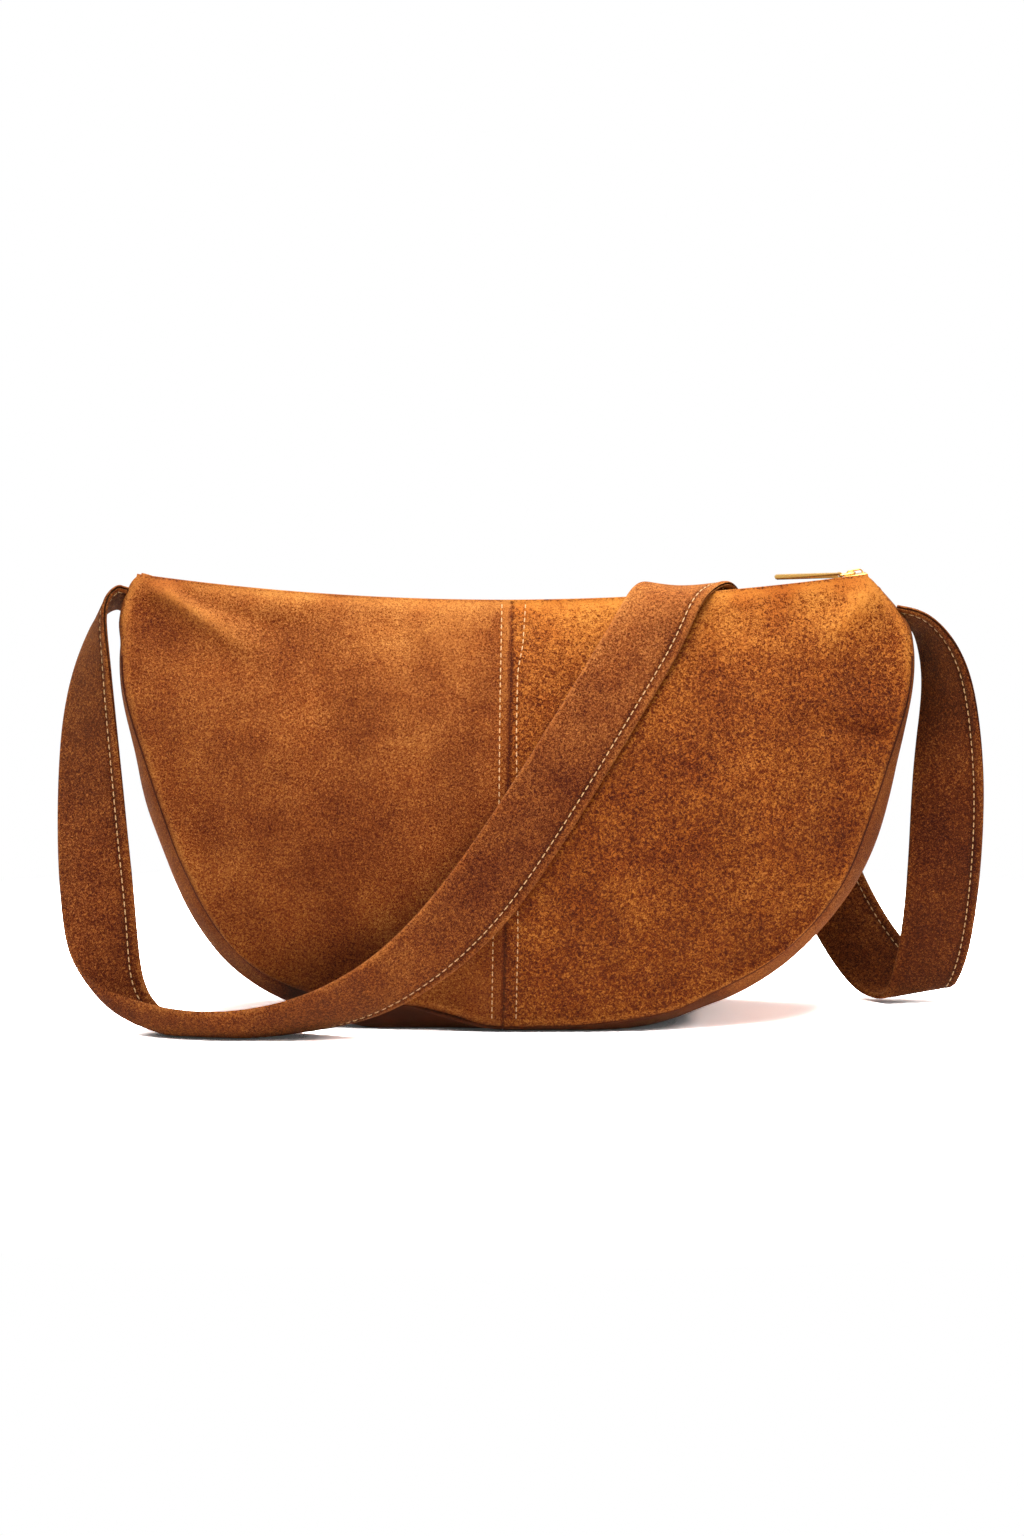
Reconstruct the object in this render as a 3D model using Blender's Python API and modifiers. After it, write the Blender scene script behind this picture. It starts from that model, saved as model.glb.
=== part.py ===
"""Half-moon suede shoulder bag with a curved zip mouth and one sewn shoulder strap.

Units are metres, +Z is up, the bag faces -Y and stands on its flat base at Z = 0.
The shell is two pieced suede panels and a two-piece gusset, lined, with a metal zip
between the panels' lips. Sizes are named here once, and every place is worked out
from them.
"""
import math

import bmesh
import bpy
from mathutils import Matrix, Vector
from mathutils.bvhtree import BVHTree
from mathutils.geometry import interpolate_bezier

# Overall form, measured on the gusset's mid line
HALF_LENGTH = 0.193
HEIGHT = 0.218
BASE_HALF_LENGTH = 0.070
MOUTH_SET_IN = 0.017
MOUTH_HALF_LENGTH = HALF_LENGTH - MOUTH_SET_IN
MOUTH_SAG = 0.0125
LIP_MID_HEIGHT = HEIGHT - MOUTH_SAG
BASE_HALF_DEPTH = 0.049
MOUTH_HALF_DEPTH = 0.011
PANEL_BULGE = 0.012
SEAM_INSET = 0.012
LEAN = 0.007
CENTRE_SEAM_TOP_OFFSET = 0.0046

# Wall thicknesses and running clearances
SUEDE = 0.0014
LINING = 0.0006
TAPE = 0.0006
GAP = 0.0003
LINING_SETBACK = 0.005
TAPE_DROP = 0.008

# Zip chain: how far its middle and its ends lie under the lips, and one tooth
ZIP_MID_DROP = 0.0053
ZIP_MID_HEIGHT = LIP_MID_HEIGHT - ZIP_MID_DROP
ZIP_END_DROP = 0.0025
TOOTH_PITCH = 0.0038
TOOTH_HALF_HEIGHT = 0.0012
TOOTH_REACH = 0.0027
TOOTH_NOSE = 0.0007
TAPE_BITE = 0.0018
STOP_LENGTH = 0.0018

# Slider, its link and its pull bar
SLIDER_LENGTH = 0.011
SLIDER_WALL = 0.0014
SLIDER_PLATE = 0.0008
BRIDGE_LENGTH = 0.0088
BRIDGE_BAR = 0.0008
BRIDGE_WIDTH = 0.0020
BRIDGE_SLOPE_SHARE = 1.3
LINK_WIRE = 0.0010
LINK_LENGTH = 0.0074
LINK_CORNER = 0.0014
PULL_LENGTH = 0.0315
PULL_WIDTH = 0.0044
PULL_THICKNESS = 0.0024
PULL_EYE_WALL = 0.0007
PULL_RISE_DEGREES = 8.0
PULL_TIP_REACH_SHARE = 0.33
PULL_TIP_HALF_SHARE = 0.7

# Shoulder strap, folded and stitched flat
STRAP_WIDTH = 0.036
STRAP_THICKNESS = 0.003
STRAP_REST_CLEARANCE = 0.0011
STRAP_CREST_RISE = 0.0012
STRAP_ROOT_LEFT_HEIGHT = 0.2045
STRAP_ROOT_RIGHT_HEIGHT = 0.1955

# How finely the soft shapes are drawn
PANEL_COLUMNS = 13
PANEL_ROWS = 11
BAND_STATIONS = 22
BAND_EDGE_POWER = 1.8
BAND_ROWS = 8
LINING_COLUMNS = 18
LINING_ROWS = 7
LINING_STRIP_ROWS = 4
TAPE_STATIONS = 24
OUTLINE_POINTS = 40
STRAP_STEPS = 2
LINK_CORNER_STEPS = 3
EYE_STEPS = 10

# Half outline of the gusset's mid line: handles and upper points, in shares of length and height
BASE_HANDLE_SHARE = 0.803
SIDE_HANDLE_HEIGHT_SHARE = 0.413
WIDEST_HEIGHT_SHARE = 0.817
UPPER_HANDLE_HEIGHT_SHARE = 0.885
CORNER_HANDLE_LENGTH_SHARE = 0.974
CORNER_HANDLE_HEIGHT_SHARE = 0.931
GUSSET_END_SHARE = 0.975
PATCH_CORNER_SHARE = 0.42
BAND_FLAT_SHARE = 0.45
LEAN_TOP_START_SHARE = 0.84
LEAN_BASE_END_SHARE = 0.37
TAPE_SETBACK_SHARE = 1.25

# Seam inset along the half outline, as (share of the outline, share of the inset)
SEAM_INSET_SHARES = [
    (0.00, 0.30),
    (0.22, 0.32),
    (0.42, 1.00),
    (0.62, 0.85),
    (0.86, 0.62),
    (1.00, 0.00),
]

# Strap stations: centre in shares of half length, half depth and height, then the
# direction of the stitched edge. Left leg, floor bend and front diagonal come first.
STRAP_FRONT_SHARES = [
    ((-1.006, -0.010, 0.946), (0.15, -0.92, 0.35)),
    ((-1.040, -0.041, 0.924), (0.21, -0.92, 0.33)),
    ((-1.056, -0.082, 0.877), (0.32, -0.90, 0.31)),
    ((-1.065, -0.122, 0.817), (0.51, -0.83, 0.22)),
    ((-1.071, -0.173, 0.746), (0.66, -0.73, 0.15)),
    ((-1.074, -0.255, 0.651), (0.81, -0.57, 0.10)),
    ((-1.068, -0.388, 0.521), (0.92, -0.38, 0.08)),
    ((-1.058, -0.561, 0.392), (0.98, -0.19, 0.04)),
    ((-1.040, -0.735, 0.266), (1.00, 0.04, -0.03)),
    ((-1.025, -0.837, 0.186), (0.96, 0.18, -0.18)),
    ((-1.000, -0.898, 0.127), (0.91, 0.28, -0.29)),
    ((-0.955, -0.979, 0.088), (0.85, 0.39, -0.35)),
    ((-0.900, -1.100, 0.066), (0.75, 0.52, -0.41)),
    ((-0.845, -1.214, 0.052), (0.64, 0.63, -0.44)),
    ((-0.788, -1.300, 0.044), (0.55, 0.71, -0.45)),
    ((-0.718, -1.347, 0.041), (0.51, 0.74, -0.44)),
    ((-0.620, -1.385, 0.047), (0.50, 0.74, -0.45)),
    ((-0.515, -1.415, 0.064), (0.52, 0.71, -0.48)),
    ((-0.415, -1.430, 0.093), (0.56, 0.64, -0.52)),
    ((-0.320, -1.430, 0.135), (0.61, 0.55, -0.57)),
    ((-0.228, -1.400, 0.195), (0.66, 0.43, -0.61)),
    ((-0.138, -1.340, 0.271), (0.72, 0.22, -0.65)),
    ((-0.047, -1.240, 0.368), (0.77, 0.00, -0.64)),
    ((0.054, -1.140, 0.502), (0.78, -0.12, -0.62)),
    ((0.157, -0.950, 0.643), (0.79, -0.22, -0.58)),
    ((0.244, -0.721, 0.765), (0.81, -0.26, -0.53)),
    ((0.307, -0.530, 0.850), (0.84, -0.27, -0.46)),
    ((0.347, -0.385, 0.911), (0.87, -0.30, -0.38)),
]

# Over the mouth: share of half length, share of the mouth's half depth, edge direction
STRAP_RIDGE_SHARES = [
    ((0.380, -1.10), (0.84, -0.48, -0.22)),
    ((0.421, 0.00), (0.80, -0.60, 0.00)),
    ((0.462, 1.10), (0.83, -0.50, 0.24)),
]

# Down the back, the floor bend at the right and the right leg
STRAP_BACK_SHARES = [
    ((0.490, 0.400, 0.908), (0.87, -0.24, 0.43)),
    ((0.543, 0.660, 0.803), (0.87, -0.20, 0.44)),
    ((0.619, 0.950, 0.651), (0.88, -0.10, 0.45)),
    ((0.694, 1.160, 0.505), (0.88, 0.00, 0.46)),
    ((0.781, 1.220, 0.332), (0.87, 0.10, 0.47)),
    ((0.827, 1.170, 0.242), (0.85, 0.12, 0.50)),
    ((0.871, 1.065, 0.168), (0.82, 0.16, 0.54)),
    ((0.911, 0.918, 0.113), (0.80, 0.22, 0.55)),
    ((0.955, 0.775, 0.069), (0.83, 0.25, 0.50)),
    ((0.998, 0.660, 0.042), (0.91, 0.22, 0.35)),
    ((1.028, 0.545, 0.032), (0.96, 0.17, 0.24)),
    ((1.044, 0.430, 0.042), (0.97, 0.14, 0.17)),
    ((1.056, 0.350, 0.072), (0.98, 0.12, 0.10)),
    ((1.072, 0.295, 0.126), (0.99, 0.10, 0.02)),
    ((1.086, 0.214, 0.234), (0.99, 0.07, -0.05)),
    ((1.092, 0.092, 0.376), (1.00, 0.00, -0.03)),
    ((1.093, 0.031, 0.509), (0.96, -0.27, 0.06)),
    ((1.091, 0.031, 0.639), (0.78, -0.60, 0.16)),
    ((1.087, 0.031, 0.741), (0.56, -0.78, 0.27)),
    ((1.065, 0.020, 0.820), (0.36, -0.88, 0.30)),
    ((1.030, 0.000, 0.872), (0.14, -0.93, 0.32)),
    ((1.004, 0.000, 0.891), (-0.05, -0.94, 0.34)),
]
# At the sewn ends the edge points forward and up along the gusset, in these shares
STRAP_ROOT_EDGE_SHARES = (0.92, 0.39)
ROOT_SHARE_STEP = 0.01

# Colour (linear RGB), roughness and metallic value of each finish
SUEDE_SMOOTH_FINISH = ((0.33, 0.118, 0.028, 1.0), 0.92, 0.0)
SUEDE_SPLIT_FINISH = ((0.36, 0.120, 0.022, 1.0), 0.95, 0.0)
SUEDE_GUSSET_FINISH = ((0.22, 0.070, 0.017, 1.0), 0.93, 0.0)
STRAP_FINISH = ((0.20, 0.062, 0.017, 1.0), 0.92, 0.0)
LINING_FINISH = ((0.10, 0.052, 0.025, 1.0), 0.80, 0.0)
TAPE_FINISH = ((0.09, 0.040, 0.018, 1.0), 0.85, 0.0)
BRASS_FINISH = ((0.72, 0.50, 0.20, 1.0), 0.28, 1.0)

BAG = bpy.data.collections.new("half_moon_bag")
CUTTERS = bpy.data.collections.new("cutters")


def clear_scene():
    """Remove what the file opened with."""
    for old in list(bpy.data.objects):
        bpy.data.objects.remove(old, do_unlink=True)


def finish(name, values):
    """Return a Principled material of the given colour, roughness and metallic value."""
    colour, roughness, metallic = values
    material = bpy.data.materials.new(name)
    material.use_nodes = True
    shader = material.node_tree.nodes["Principled BSDF"]
    shader.inputs["Base Color"].default_value = colour
    shader.inputs["Roughness"].default_value = roughness
    shader.inputs["Metallic"].default_value = metallic
    return material


def add_object(name, mesh, values, location=(0.0, 0.0, 0.0), parent=None):
    """Put a mesh into the bag's collection as one named node."""
    obj = bpy.data.objects.new(name, mesh)
    obj.location = location
    obj.data.materials.clear()
    obj.data.materials.append(finish(name + "_finish", values))
    obj.parent = parent
    BAG.objects.link(obj)
    return obj


def add_wall(obj, thickness, offset):
    """Give an open surface its wall."""
    wall = obj.modifiers.new("wall", "SOLIDIFY")
    wall.thickness = thickness
    wall.offset = offset
    return obj


def smooth_step(value):
    """Ease from 0 to 1 with flat ends."""
    value = min(1.0, max(0.0, value))
    return value * value * (3.0 - 2.0 * value)


def along(points, share):
    """Return the point at a share of a polyline's length."""
    lengths = [(b - a).length for a, b in zip(points, points[1:])]
    left = share * sum(lengths)
    for index, length in enumerate(lengths):
        if left <= length or index == len(lengths) - 1:
            return points[index].lerp(points[index + 1], left / length)
        left -= length
    return points[-1]


# The bag's own form

def half_outline():
    """Right half of the gusset's mid line, from bottom centre to mouth corner, Y unused."""
    base_end = Vector((BASE_HALF_LENGTH, 0.0, 0.0))
    widest = Vector((HALF_LENGTH, 0.0, HEIGHT * WIDEST_HEIGHT_SHARE))
    corner = Vector((MOUTH_HALF_LENGTH, 0.0, HEIGHT))
    lower = interpolate_bezier(
        base_end,
        Vector((HALF_LENGTH * BASE_HANDLE_SHARE, 0.0, 0.0)),
        Vector((HALF_LENGTH, 0.0, HEIGHT * SIDE_HANDLE_HEIGHT_SHARE)),
        widest,
        OUTLINE_POINTS,
    )
    upper = interpolate_bezier(
        widest,
        Vector((HALF_LENGTH, 0.0, HEIGHT * UPPER_HANDLE_HEIGHT_SHARE)),
        Vector((HALF_LENGTH * CORNER_HANDLE_LENGTH_SHARE, 0.0, HEIGHT * CORNER_HANDLE_HEIGHT_SHARE)),
        corner,
        OUTLINE_POINTS,
    )
    return [Vector((0.0, 0.0, 0.0))] + lower + upper[1:]


OUTLINE = half_outline()


def seam_inset(share):
    """How far the sewn seam lies inside the gusset's mid line."""
    for (start, low), (end, high) in zip(SEAM_INSET_SHARES, SEAM_INSET_SHARES[1:]):
        if share <= end:
            blend = smooth_step((share - start) / (end - start))
            return SEAM_INSET * (low + (high - low) * blend)
    return SEAM_INSET * SEAM_INSET_SHARES[-1][1]


def outline_normal(share):
    """Outward direction of the half outline at a share of its length."""
    step = 1.0 / OUTLINE_POINTS
    before = along(OUTLINE, max(0.0, share - step))
    after = along(OUTLINE, min(1.0, share + step))
    way = (after - before).normalized()
    return Vector((way.z, 0.0, -way.x))


def inset_point(share, inset):
    """A point of the half outline moved inward."""
    return along(OUTLINE, share) - outline_normal(share) * inset


def lip_height(x):
    """Height of the mouth's edge, lowest at mid length."""
    reach = min(abs(x), MOUTH_HALF_LENGTH) / MOUTH_HALF_LENGTH
    return LIP_MID_HEIGHT + (HEIGHT - LIP_MID_HEIGHT) * reach * reach


def half_depth(x, z):
    """Half depth between the seams: full at the base, narrow at the mouth."""
    rise = min(1.0, max(0.0, z / lip_height(x)))
    return MOUTH_HALF_DEPTH + (BASE_HALF_DEPTH - MOUTH_HALF_DEPTH) * (1.0 - rise ** 3)


def lean(z):
    """Sideways shift of the soft bag at a height, at its top and its foot."""
    share = z / HEIGHT
    top = smooth_step((share - LEAN_TOP_START_SHARE) / (1.0 - LEAN_TOP_START_SHARE))
    foot = smooth_step((LEAN_BASE_END_SHARE - share) / LEAN_BASE_END_SHARE)
    return -LEAN * (top + foot)


def leaned(point):
    """Apply the bag's lean to a point."""
    return Vector((point.x + lean(point.z), point.y, point.z))


def panel_point(side, u, v):
    """A point of one half panel: u runs from centre seam to side, v from lip to bottom."""
    centre_top = CENTRE_SEAM_TOP_OFFSET + side * GAP / 2
    centre_low = side * GAP / 2

    def lip(share):
        x = centre_top + (side * MOUTH_HALF_LENGTH - centre_top) * share
        return Vector((x, 0.0, lip_height(x)))

    def bottom(share):
        outline_share = share * PATCH_CORNER_SHARE
        point = inset_point(outline_share, seam_inset(outline_share))
        return Vector((side * point.x + centre_low * (1.0 - share), 0.0, point.z))

    def flank(share):
        outline_share = 1.0 - share * (1.0 - PATCH_CORNER_SHARE)
        point = inset_point(outline_share, seam_inset(outline_share))
        return Vector((side * point.x, 0.0, point.z))

    centre = lip(0.0).lerp(bottom(0.0), v)
    centre.x -= lean(centre.z) + LEAN
    across = centre.lerp(flank(v), u)
    down = lip(u).lerp(bottom(u), v)
    corners = lip(0.0).lerp(lip(1.0), u).lerp(bottom(0.0).lerp(bottom(1.0), u), v)
    point = across + down - corners
    bulge = PANEL_BULGE * math.sin(math.pi * v ** 1.25) * (1.0 - u ** 2.2)
    point.y = -(half_depth(point.x, point.z) + bulge)
    return leaned(point)


def band_point(side, share, across, margin):
    """A point of the gusset: share runs along the outline, across from front to back."""
    edge = max(0.0, (abs(across) - BAND_FLAT_SHARE) / (1.0 - BAND_FLAT_SHARE))
    point = inset_point(share, seam_inset(share) * edge ** BAND_EDGE_POWER)
    point.x = max(point.x, GAP / 2)
    point.y = across * (half_depth(point.x, point.z) - margin)
    point.x *= side
    return leaned(point)


def mapped_grid(columns, rows, place, inward=0.0):
    """A grid shaped by a function of two shares, its faces turned away from the bag's middle."""
    mesh = bmesh.new()
    bmesh.ops.create_grid(mesh, x_segments=columns, y_segments=rows, size=0.5)
    for vertex in mesh.verts:
        vertex.co = place(vertex.co.x + 0.5, vertex.co.y + 0.5)
    mesh.normal_update()
    middle = Vector((0.0, 0.0, HEIGHT / 2))
    outward = sum(face.normal.dot(face.calc_center_median() - middle) for face in mesh.faces)
    if outward < 0.0:
        bmesh.ops.reverse_faces(mesh, faces=mesh.faces)
        mesh.normal_update()
    shifts = [vertex.normal * inward for vertex in mesh.verts]
    for vertex, shift in zip(mesh.verts, shifts):
        vertex.co -= shift
    return mesh


def to_mesh(name, mesh):
    """Turn an edit mesh into mesh data."""
    data = bpy.data.meshes.new(name)
    mesh.to_mesh(data)
    mesh.free()
    return data


def front_back(point, face):
    """Turn a front point into the back panel's point."""
    return Vector((point.x, face * point.y, point.z))


def build_panels():
    """The four suede panel halves. Returns their outer faces for the strap to rest on."""
    rests = {}
    for face, face_name in ((1, "front"), (-1, "back")):
        outer = bmesh.new()
        for side, side_name in ((-1, "left"), (1, "right")):
            def place(u, v, side=side, face=face):
                return front_back(panel_point(side, u, v), face)

            name = face_name + "_panel_" + side_name
            data = to_mesh(name, mapped_grid(PANEL_COLUMNS, PANEL_ROWS, place))
            outer.from_mesh(data)
            values = SUEDE_SMOOTH_FINISH if side < 0 else SUEDE_SPLIT_FINISH
            add_wall(add_object(name, data, values), SUEDE, -1.0)
        rests[face] = BVHTree.FromBMesh(outer)
        outer.free()
    return rests


def build_gusset():
    """Two gusset strips that meet under the bag and end below the zip."""
    margin = SUEDE + GAP
    for side, side_name in ((-1, "left"), (1, "right")):
        def place(u, v, side=side):
            return band_point(side, u * GUSSET_END_SHARE, 2.0 * v - 1.0, margin)

        name = "gusset_" + side_name
        data = to_mesh(name, mapped_grid(BAND_STATIONS, BAND_ROWS, place))
        add_wall(add_object(name, data, SUEDE_GUSSET_FINISH), SUEDE, -1.0)


def build_lining():
    """Lining cloth just inside the suede: two panels and one strip."""
    inward = SUEDE + GAP
    set_u = 1.0 - LINING_SETBACK / MOUTH_HALF_LENGTH
    low = (TAPE_DROP + ZIP_END_DROP + LIP_MID_HEIGHT - ZIP_MID_HEIGHT) / LIP_MID_HEIGHT
    high = 1.0 - LINING_SETBACK / LIP_MID_HEIGHT
    for face, face_name in ((1, "front"), (-1, "back")):
        def place(u, v, face=face):
            reach = (2.0 * u - 1.0) * set_u
            side = 1 if reach >= 0.0 else -1
            point = panel_point(side, abs(reach), low + (high - low) * v)
            return front_back(point, face)

        name = "lining_" + face_name
        data = to_mesh(name, mapped_grid(LINING_COLUMNS, LINING_ROWS, place, inward))
        add_wall(add_object(name, data, LINING_FINISH), LINING, -1.0)

    def strip(u, v):
        reach = (2.0 * u - 1.0) * GUSSET_END_SHARE
        side = 1 if reach >= 0.0 else -1
        return band_point(side, abs(reach), 2.0 * v - 1.0, LINING_SETBACK)

    data = to_mesh("lining_gusset", mapped_grid(2 * BAND_STATIONS, LINING_STRIP_ROWS, strip, inward))
    add_wall(add_object("lining_gusset", data, LINING_FINISH), LINING, -1.0)


# The zip

ZIP_SAGITTA = HEIGHT - ZIP_END_DROP - ZIP_MID_HEIGHT
ZIP_RADIUS = (MOUTH_HALF_LENGTH ** 2 + ZIP_SAGITTA ** 2) / (2.0 * ZIP_SAGITTA)
ZIP_CENTRE = Vector((-LEAN, 0.0, ZIP_MID_HEIGHT + ZIP_RADIUS))
TAPE_HALF_LENGTH = MOUTH_HALF_LENGTH
SLIDER_PARK = TAPE_HALF_LENGTH + SUEDE - SLIDER_LENGTH / 2
SLIDER_TRAVEL_END = -(TAPE_HALF_LENGTH - STOP_LENGTH - GAP - SLIDER_LENGTH / 2)
PLATE_LOW = TOOTH_HALF_HEIGHT + GAP
PLATE_TOP = PLATE_LOW + SLIDER_PLATE
LINK_HEIGHT = PLATE_TOP + GAP + LINK_WIRE / 2
TEETH_START = -(TAPE_HALF_LENGTH - STOP_LENGTH - GAP)
TEETH_END = TAPE_HALF_LENGTH - STOP_LENGTH - GAP


def chain_frame(distance):
    """Matrix of the chain at a distance along it: X along, Y to the back, Z off the bag."""
    angle = distance / ZIP_RADIUS
    place = ZIP_CENTRE + Vector((math.sin(angle), 0.0, -math.cos(angle))) * ZIP_RADIUS
    return Matrix.Translation(place) @ Matrix.Rotation(-angle, 4, "Y")


def flat_outline(name, outlines, thickness):
    """A plate from closed outlines in its own XY, centred on its thickness."""
    curve = bpy.data.curves.new(name, "CURVE")
    curve.dimensions = "2D"
    curve.fill_mode = "BOTH"
    curve.extrude = thickness / 2
    for outline in outlines:
        spline = curve.splines.new("POLY")
        spline.points.add(len(outline) - 1)
        for point, (x, y) in zip(spline.points, outline):
            point.co = (x, y, 0.0, 1.0)
        spline.use_cyclic_u = True
    holder = bpy.data.objects.new(name, curve)
    bpy.context.scene.collection.objects.link(holder)
    bpy.context.view_layer.update()
    seen = holder.evaluated_get(bpy.context.evaluated_depsgraph_get())
    data = bpy.data.meshes.new_from_object(seen)
    bpy.data.objects.remove(holder, do_unlink=True)
    mesh = bmesh.new()
    mesh.from_mesh(data)
    bmesh.ops.remove_doubles(mesh, verts=mesh.verts, dist=LINK_WIRE / 100)
    bmesh.ops.recalc_face_normals(mesh, faces=mesh.faces)
    mesh.to_mesh(data)
    mesh.free()
    return data


ACROSS_CHAIN = Matrix(((0, 0, 1, 0), (1, 0, 0, 0), (0, 1, 0, 0), (0, 0, 0, 1)))
ALONG_CHAIN = Matrix(((1, 0, 0, 0), (0, 0, -1, 0), (0, 1, 0, 0), (0, 0, 0, 1)))


def tooth_outline(face):
    """A clamped tooth's section across the chain, its nose past the chain's centre line."""
    head = TOOTH_HALF_HEIGHT * 2.0 / 3.0
    half = [(-TOOTH_NOSE, -head), (TOOTH_REACH, -TOOTH_HALF_HEIGHT)]
    whole = half + [(q, -z) for q, z in reversed(half)]
    return [(face * q, z) for q, z in whole]


def clamp_outline(face):
    """A top stop's section: two legs folded round the edge of one tape."""
    slot = TAPE / 2 + GAP
    root = TOOTH_REACH - TAPE_BITE - GAP
    low = -TOOTH_HALF_HEIGHT
    half = [(GAP, low), (TOOTH_REACH, low), (TOOTH_REACH, -slot), (root, -slot)]
    whole = half + [(q, -z) for q, z in reversed(half)]
    return [(face * q, z) for q, z in whole]


def bottom_stop_outline():
    """The bottom stop's section: two plates on a web that stands between the tapes."""
    slot = TAPE / 2 + GAP
    root = TOOTH_REACH - TAPE_BITE - GAP
    quarter = [(TOOTH_REACH, TOOTH_HALF_HEIGHT), (TOOTH_REACH, slot), (root, slot)]
    whole = quarter + [(q, -z) for q, z in reversed(quarter)]
    return whole + [(-q, -z) for q, z in quarter] + [(-q, z) for q, z in reversed(quarter)]


def add_helper(name, data, location=(0.0, 0.0, 0.0)):
    """A shape that is only joined to a node, kept with the cutters."""
    helper = bpy.data.objects.new(name, data)
    helper.location = location
    helper.hide_render = True
    helper.display_type = "WIRE"
    CUTTERS.objects.link(helper)
    return helper


def join_to(obj, helper):
    """Join a helper to a node, as crimped or cast metal is."""
    joint = obj.modifiers.new("join", "BOOLEAN")
    joint.operation = "UNION"
    joint.solver = "EXACT"
    joint.object = helper


def tooth_row(face, offset):
    """All teeth of one tape as one mesh."""
    length = TOOTH_PITCH / 2 - GAP
    tooth = flat_outline("tooth", [tooth_outline(face)], length)
    row = bmesh.new()
    distance = TEETH_START + offset + length / 2
    while distance + length / 2 <= TEETH_END:
        first = len(row.verts)
        row.from_mesh(tooth)
        row.verts.ensure_lookup_table()
        bmesh.ops.transform(row, matrix=chain_frame(distance) @ ACROSS_CHAIN, verts=row.verts[first:])
        distance += TOOTH_PITCH
    return to_mesh("tooth_row", row)


def build_tapes():
    """Zip tapes with their teeth: flat out from the chain, then turned down inside the panel."""
    inner = TOOTH_REACH - TAPE_BITE
    setback = (SUEDE + GAP + TAPE) * TAPE_SETBACK_SHARE
    for face, face_name, offset in ((-1, "front", 0.0), (1, "back", TOOTH_PITCH / 2)):
        def place(u, v, face=face):
            level = chain_frame((2.0 * u - 1.0) * TAPE_HALF_LENGTH).translation
            row = round(v * 3)
            height = level.z - (TAPE_DROP if row == 3 else 0.0)
            fold = half_depth(level.x + LEAN, height) - setback
            across = (inner, (inner + fold) / 2, fold, fold)[row]
            return Vector((level.x, face * across, height))

        name = "zip_tape_" + face_name
        data = to_mesh(name, mapped_grid(TAPE_STATIONS, 3, place))
        tape = add_wall(add_object(name, data, TAPE_FINISH), TAPE, 0.0)
        join_to(tape, add_helper("teeth_" + face_name, tooth_row(face, offset)))


def build_stops():
    """Two top stops where the zip closes and one bottom stop that holds both tapes."""
    top = TAPE_HALF_LENGTH - STOP_LENGTH / 2
    for name, outline, distance in (
        ("zip_top_stop_front", clamp_outline(-1), top),
        ("zip_top_stop_back", clamp_outline(1), top),
        ("zip_bottom_stop", bottom_stop_outline(), -top),
    ):
        data = flat_outline(name, [outline], STOP_LENGTH)
        data.transform(chain_frame(distance) @ ACROSS_CHAIN)
        add_object(name, data, BRASS_FINISH)


def build_slider():
    """Slider of two channelled plates with the bridge on top, on the chain's own arc."""
    wing = TOOTH_REACH + GAP + SLIDER_WALL
    shoulder = wing - SLIDER_PLATE / 2
    foot = TAPE / 2 + GAP
    inside = TOOTH_REACH + GAP
    half = [
        (inside, PLATE_LOW),
        (inside, foot),
        (wing, foot),
        (wing, PLATE_TOP - SLIDER_PLATE / 3),
        (shoulder, PLATE_TOP),
    ]
    channel = half + [(-q, z) for q, z in reversed(half)]
    low_channel = [(q, -z) for q, z in channel]
    bridge_top = LINK_HEIGHT + LINK_WIRE / 2 + GAP + BRIDGE_BAR
    bridge_foot = PLATE_TOP - SLIDER_PLATE / 2
    reach = BRIDGE_LENGTH / 2
    opening_top = bridge_top - BRIDGE_BAR
    arch = [
        (reach, bridge_foot),
        (reach - BRIDGE_BAR / 2, opening_top - BRIDGE_BAR / 4),
        (reach - 2.0 * BRIDGE_BAR, bridge_top),
    ]
    hollow = [
        (reach - BRIDGE_BAR, bridge_foot),
        (reach - BRIDGE_BAR * BRIDGE_SLOPE_SHARE, opening_top - BRIDGE_BAR / 2),
        (reach - 2.0 * BRIDGE_BAR, opening_top),
    ]
    outline = arch + [(-x, z) for x, z in reversed(arch)]
    outline += [(-x, z) for x, z in hollow] + [(x, z) for x, z in reversed(hollow)]
    home = chain_frame(SLIDER_PARK)

    turn = home.to_3x3().to_4x4()
    bridge = flat_outline("slider_bridge", [outline], BRIDGE_WIDTH)
    bridge.transform(turn @ ALONG_CHAIN)
    low = flat_outline("zip_slider_underplate", [low_channel], SLIDER_LENGTH)
    low.transform(turn @ ACROSS_CHAIN)
    add_object("zip_slider_underplate", low, BRASS_FINISH, home.translation)
    top = flat_outline("zip_slider_body", [channel], SLIDER_LENGTH)
    top.transform(turn @ ACROSS_CHAIN)
    body = add_object("zip_slider_body", top, BRASS_FINISH, home.translation)
    join_to(body, add_helper("slider_bridge", bridge, home.translation))
    return body


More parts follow.
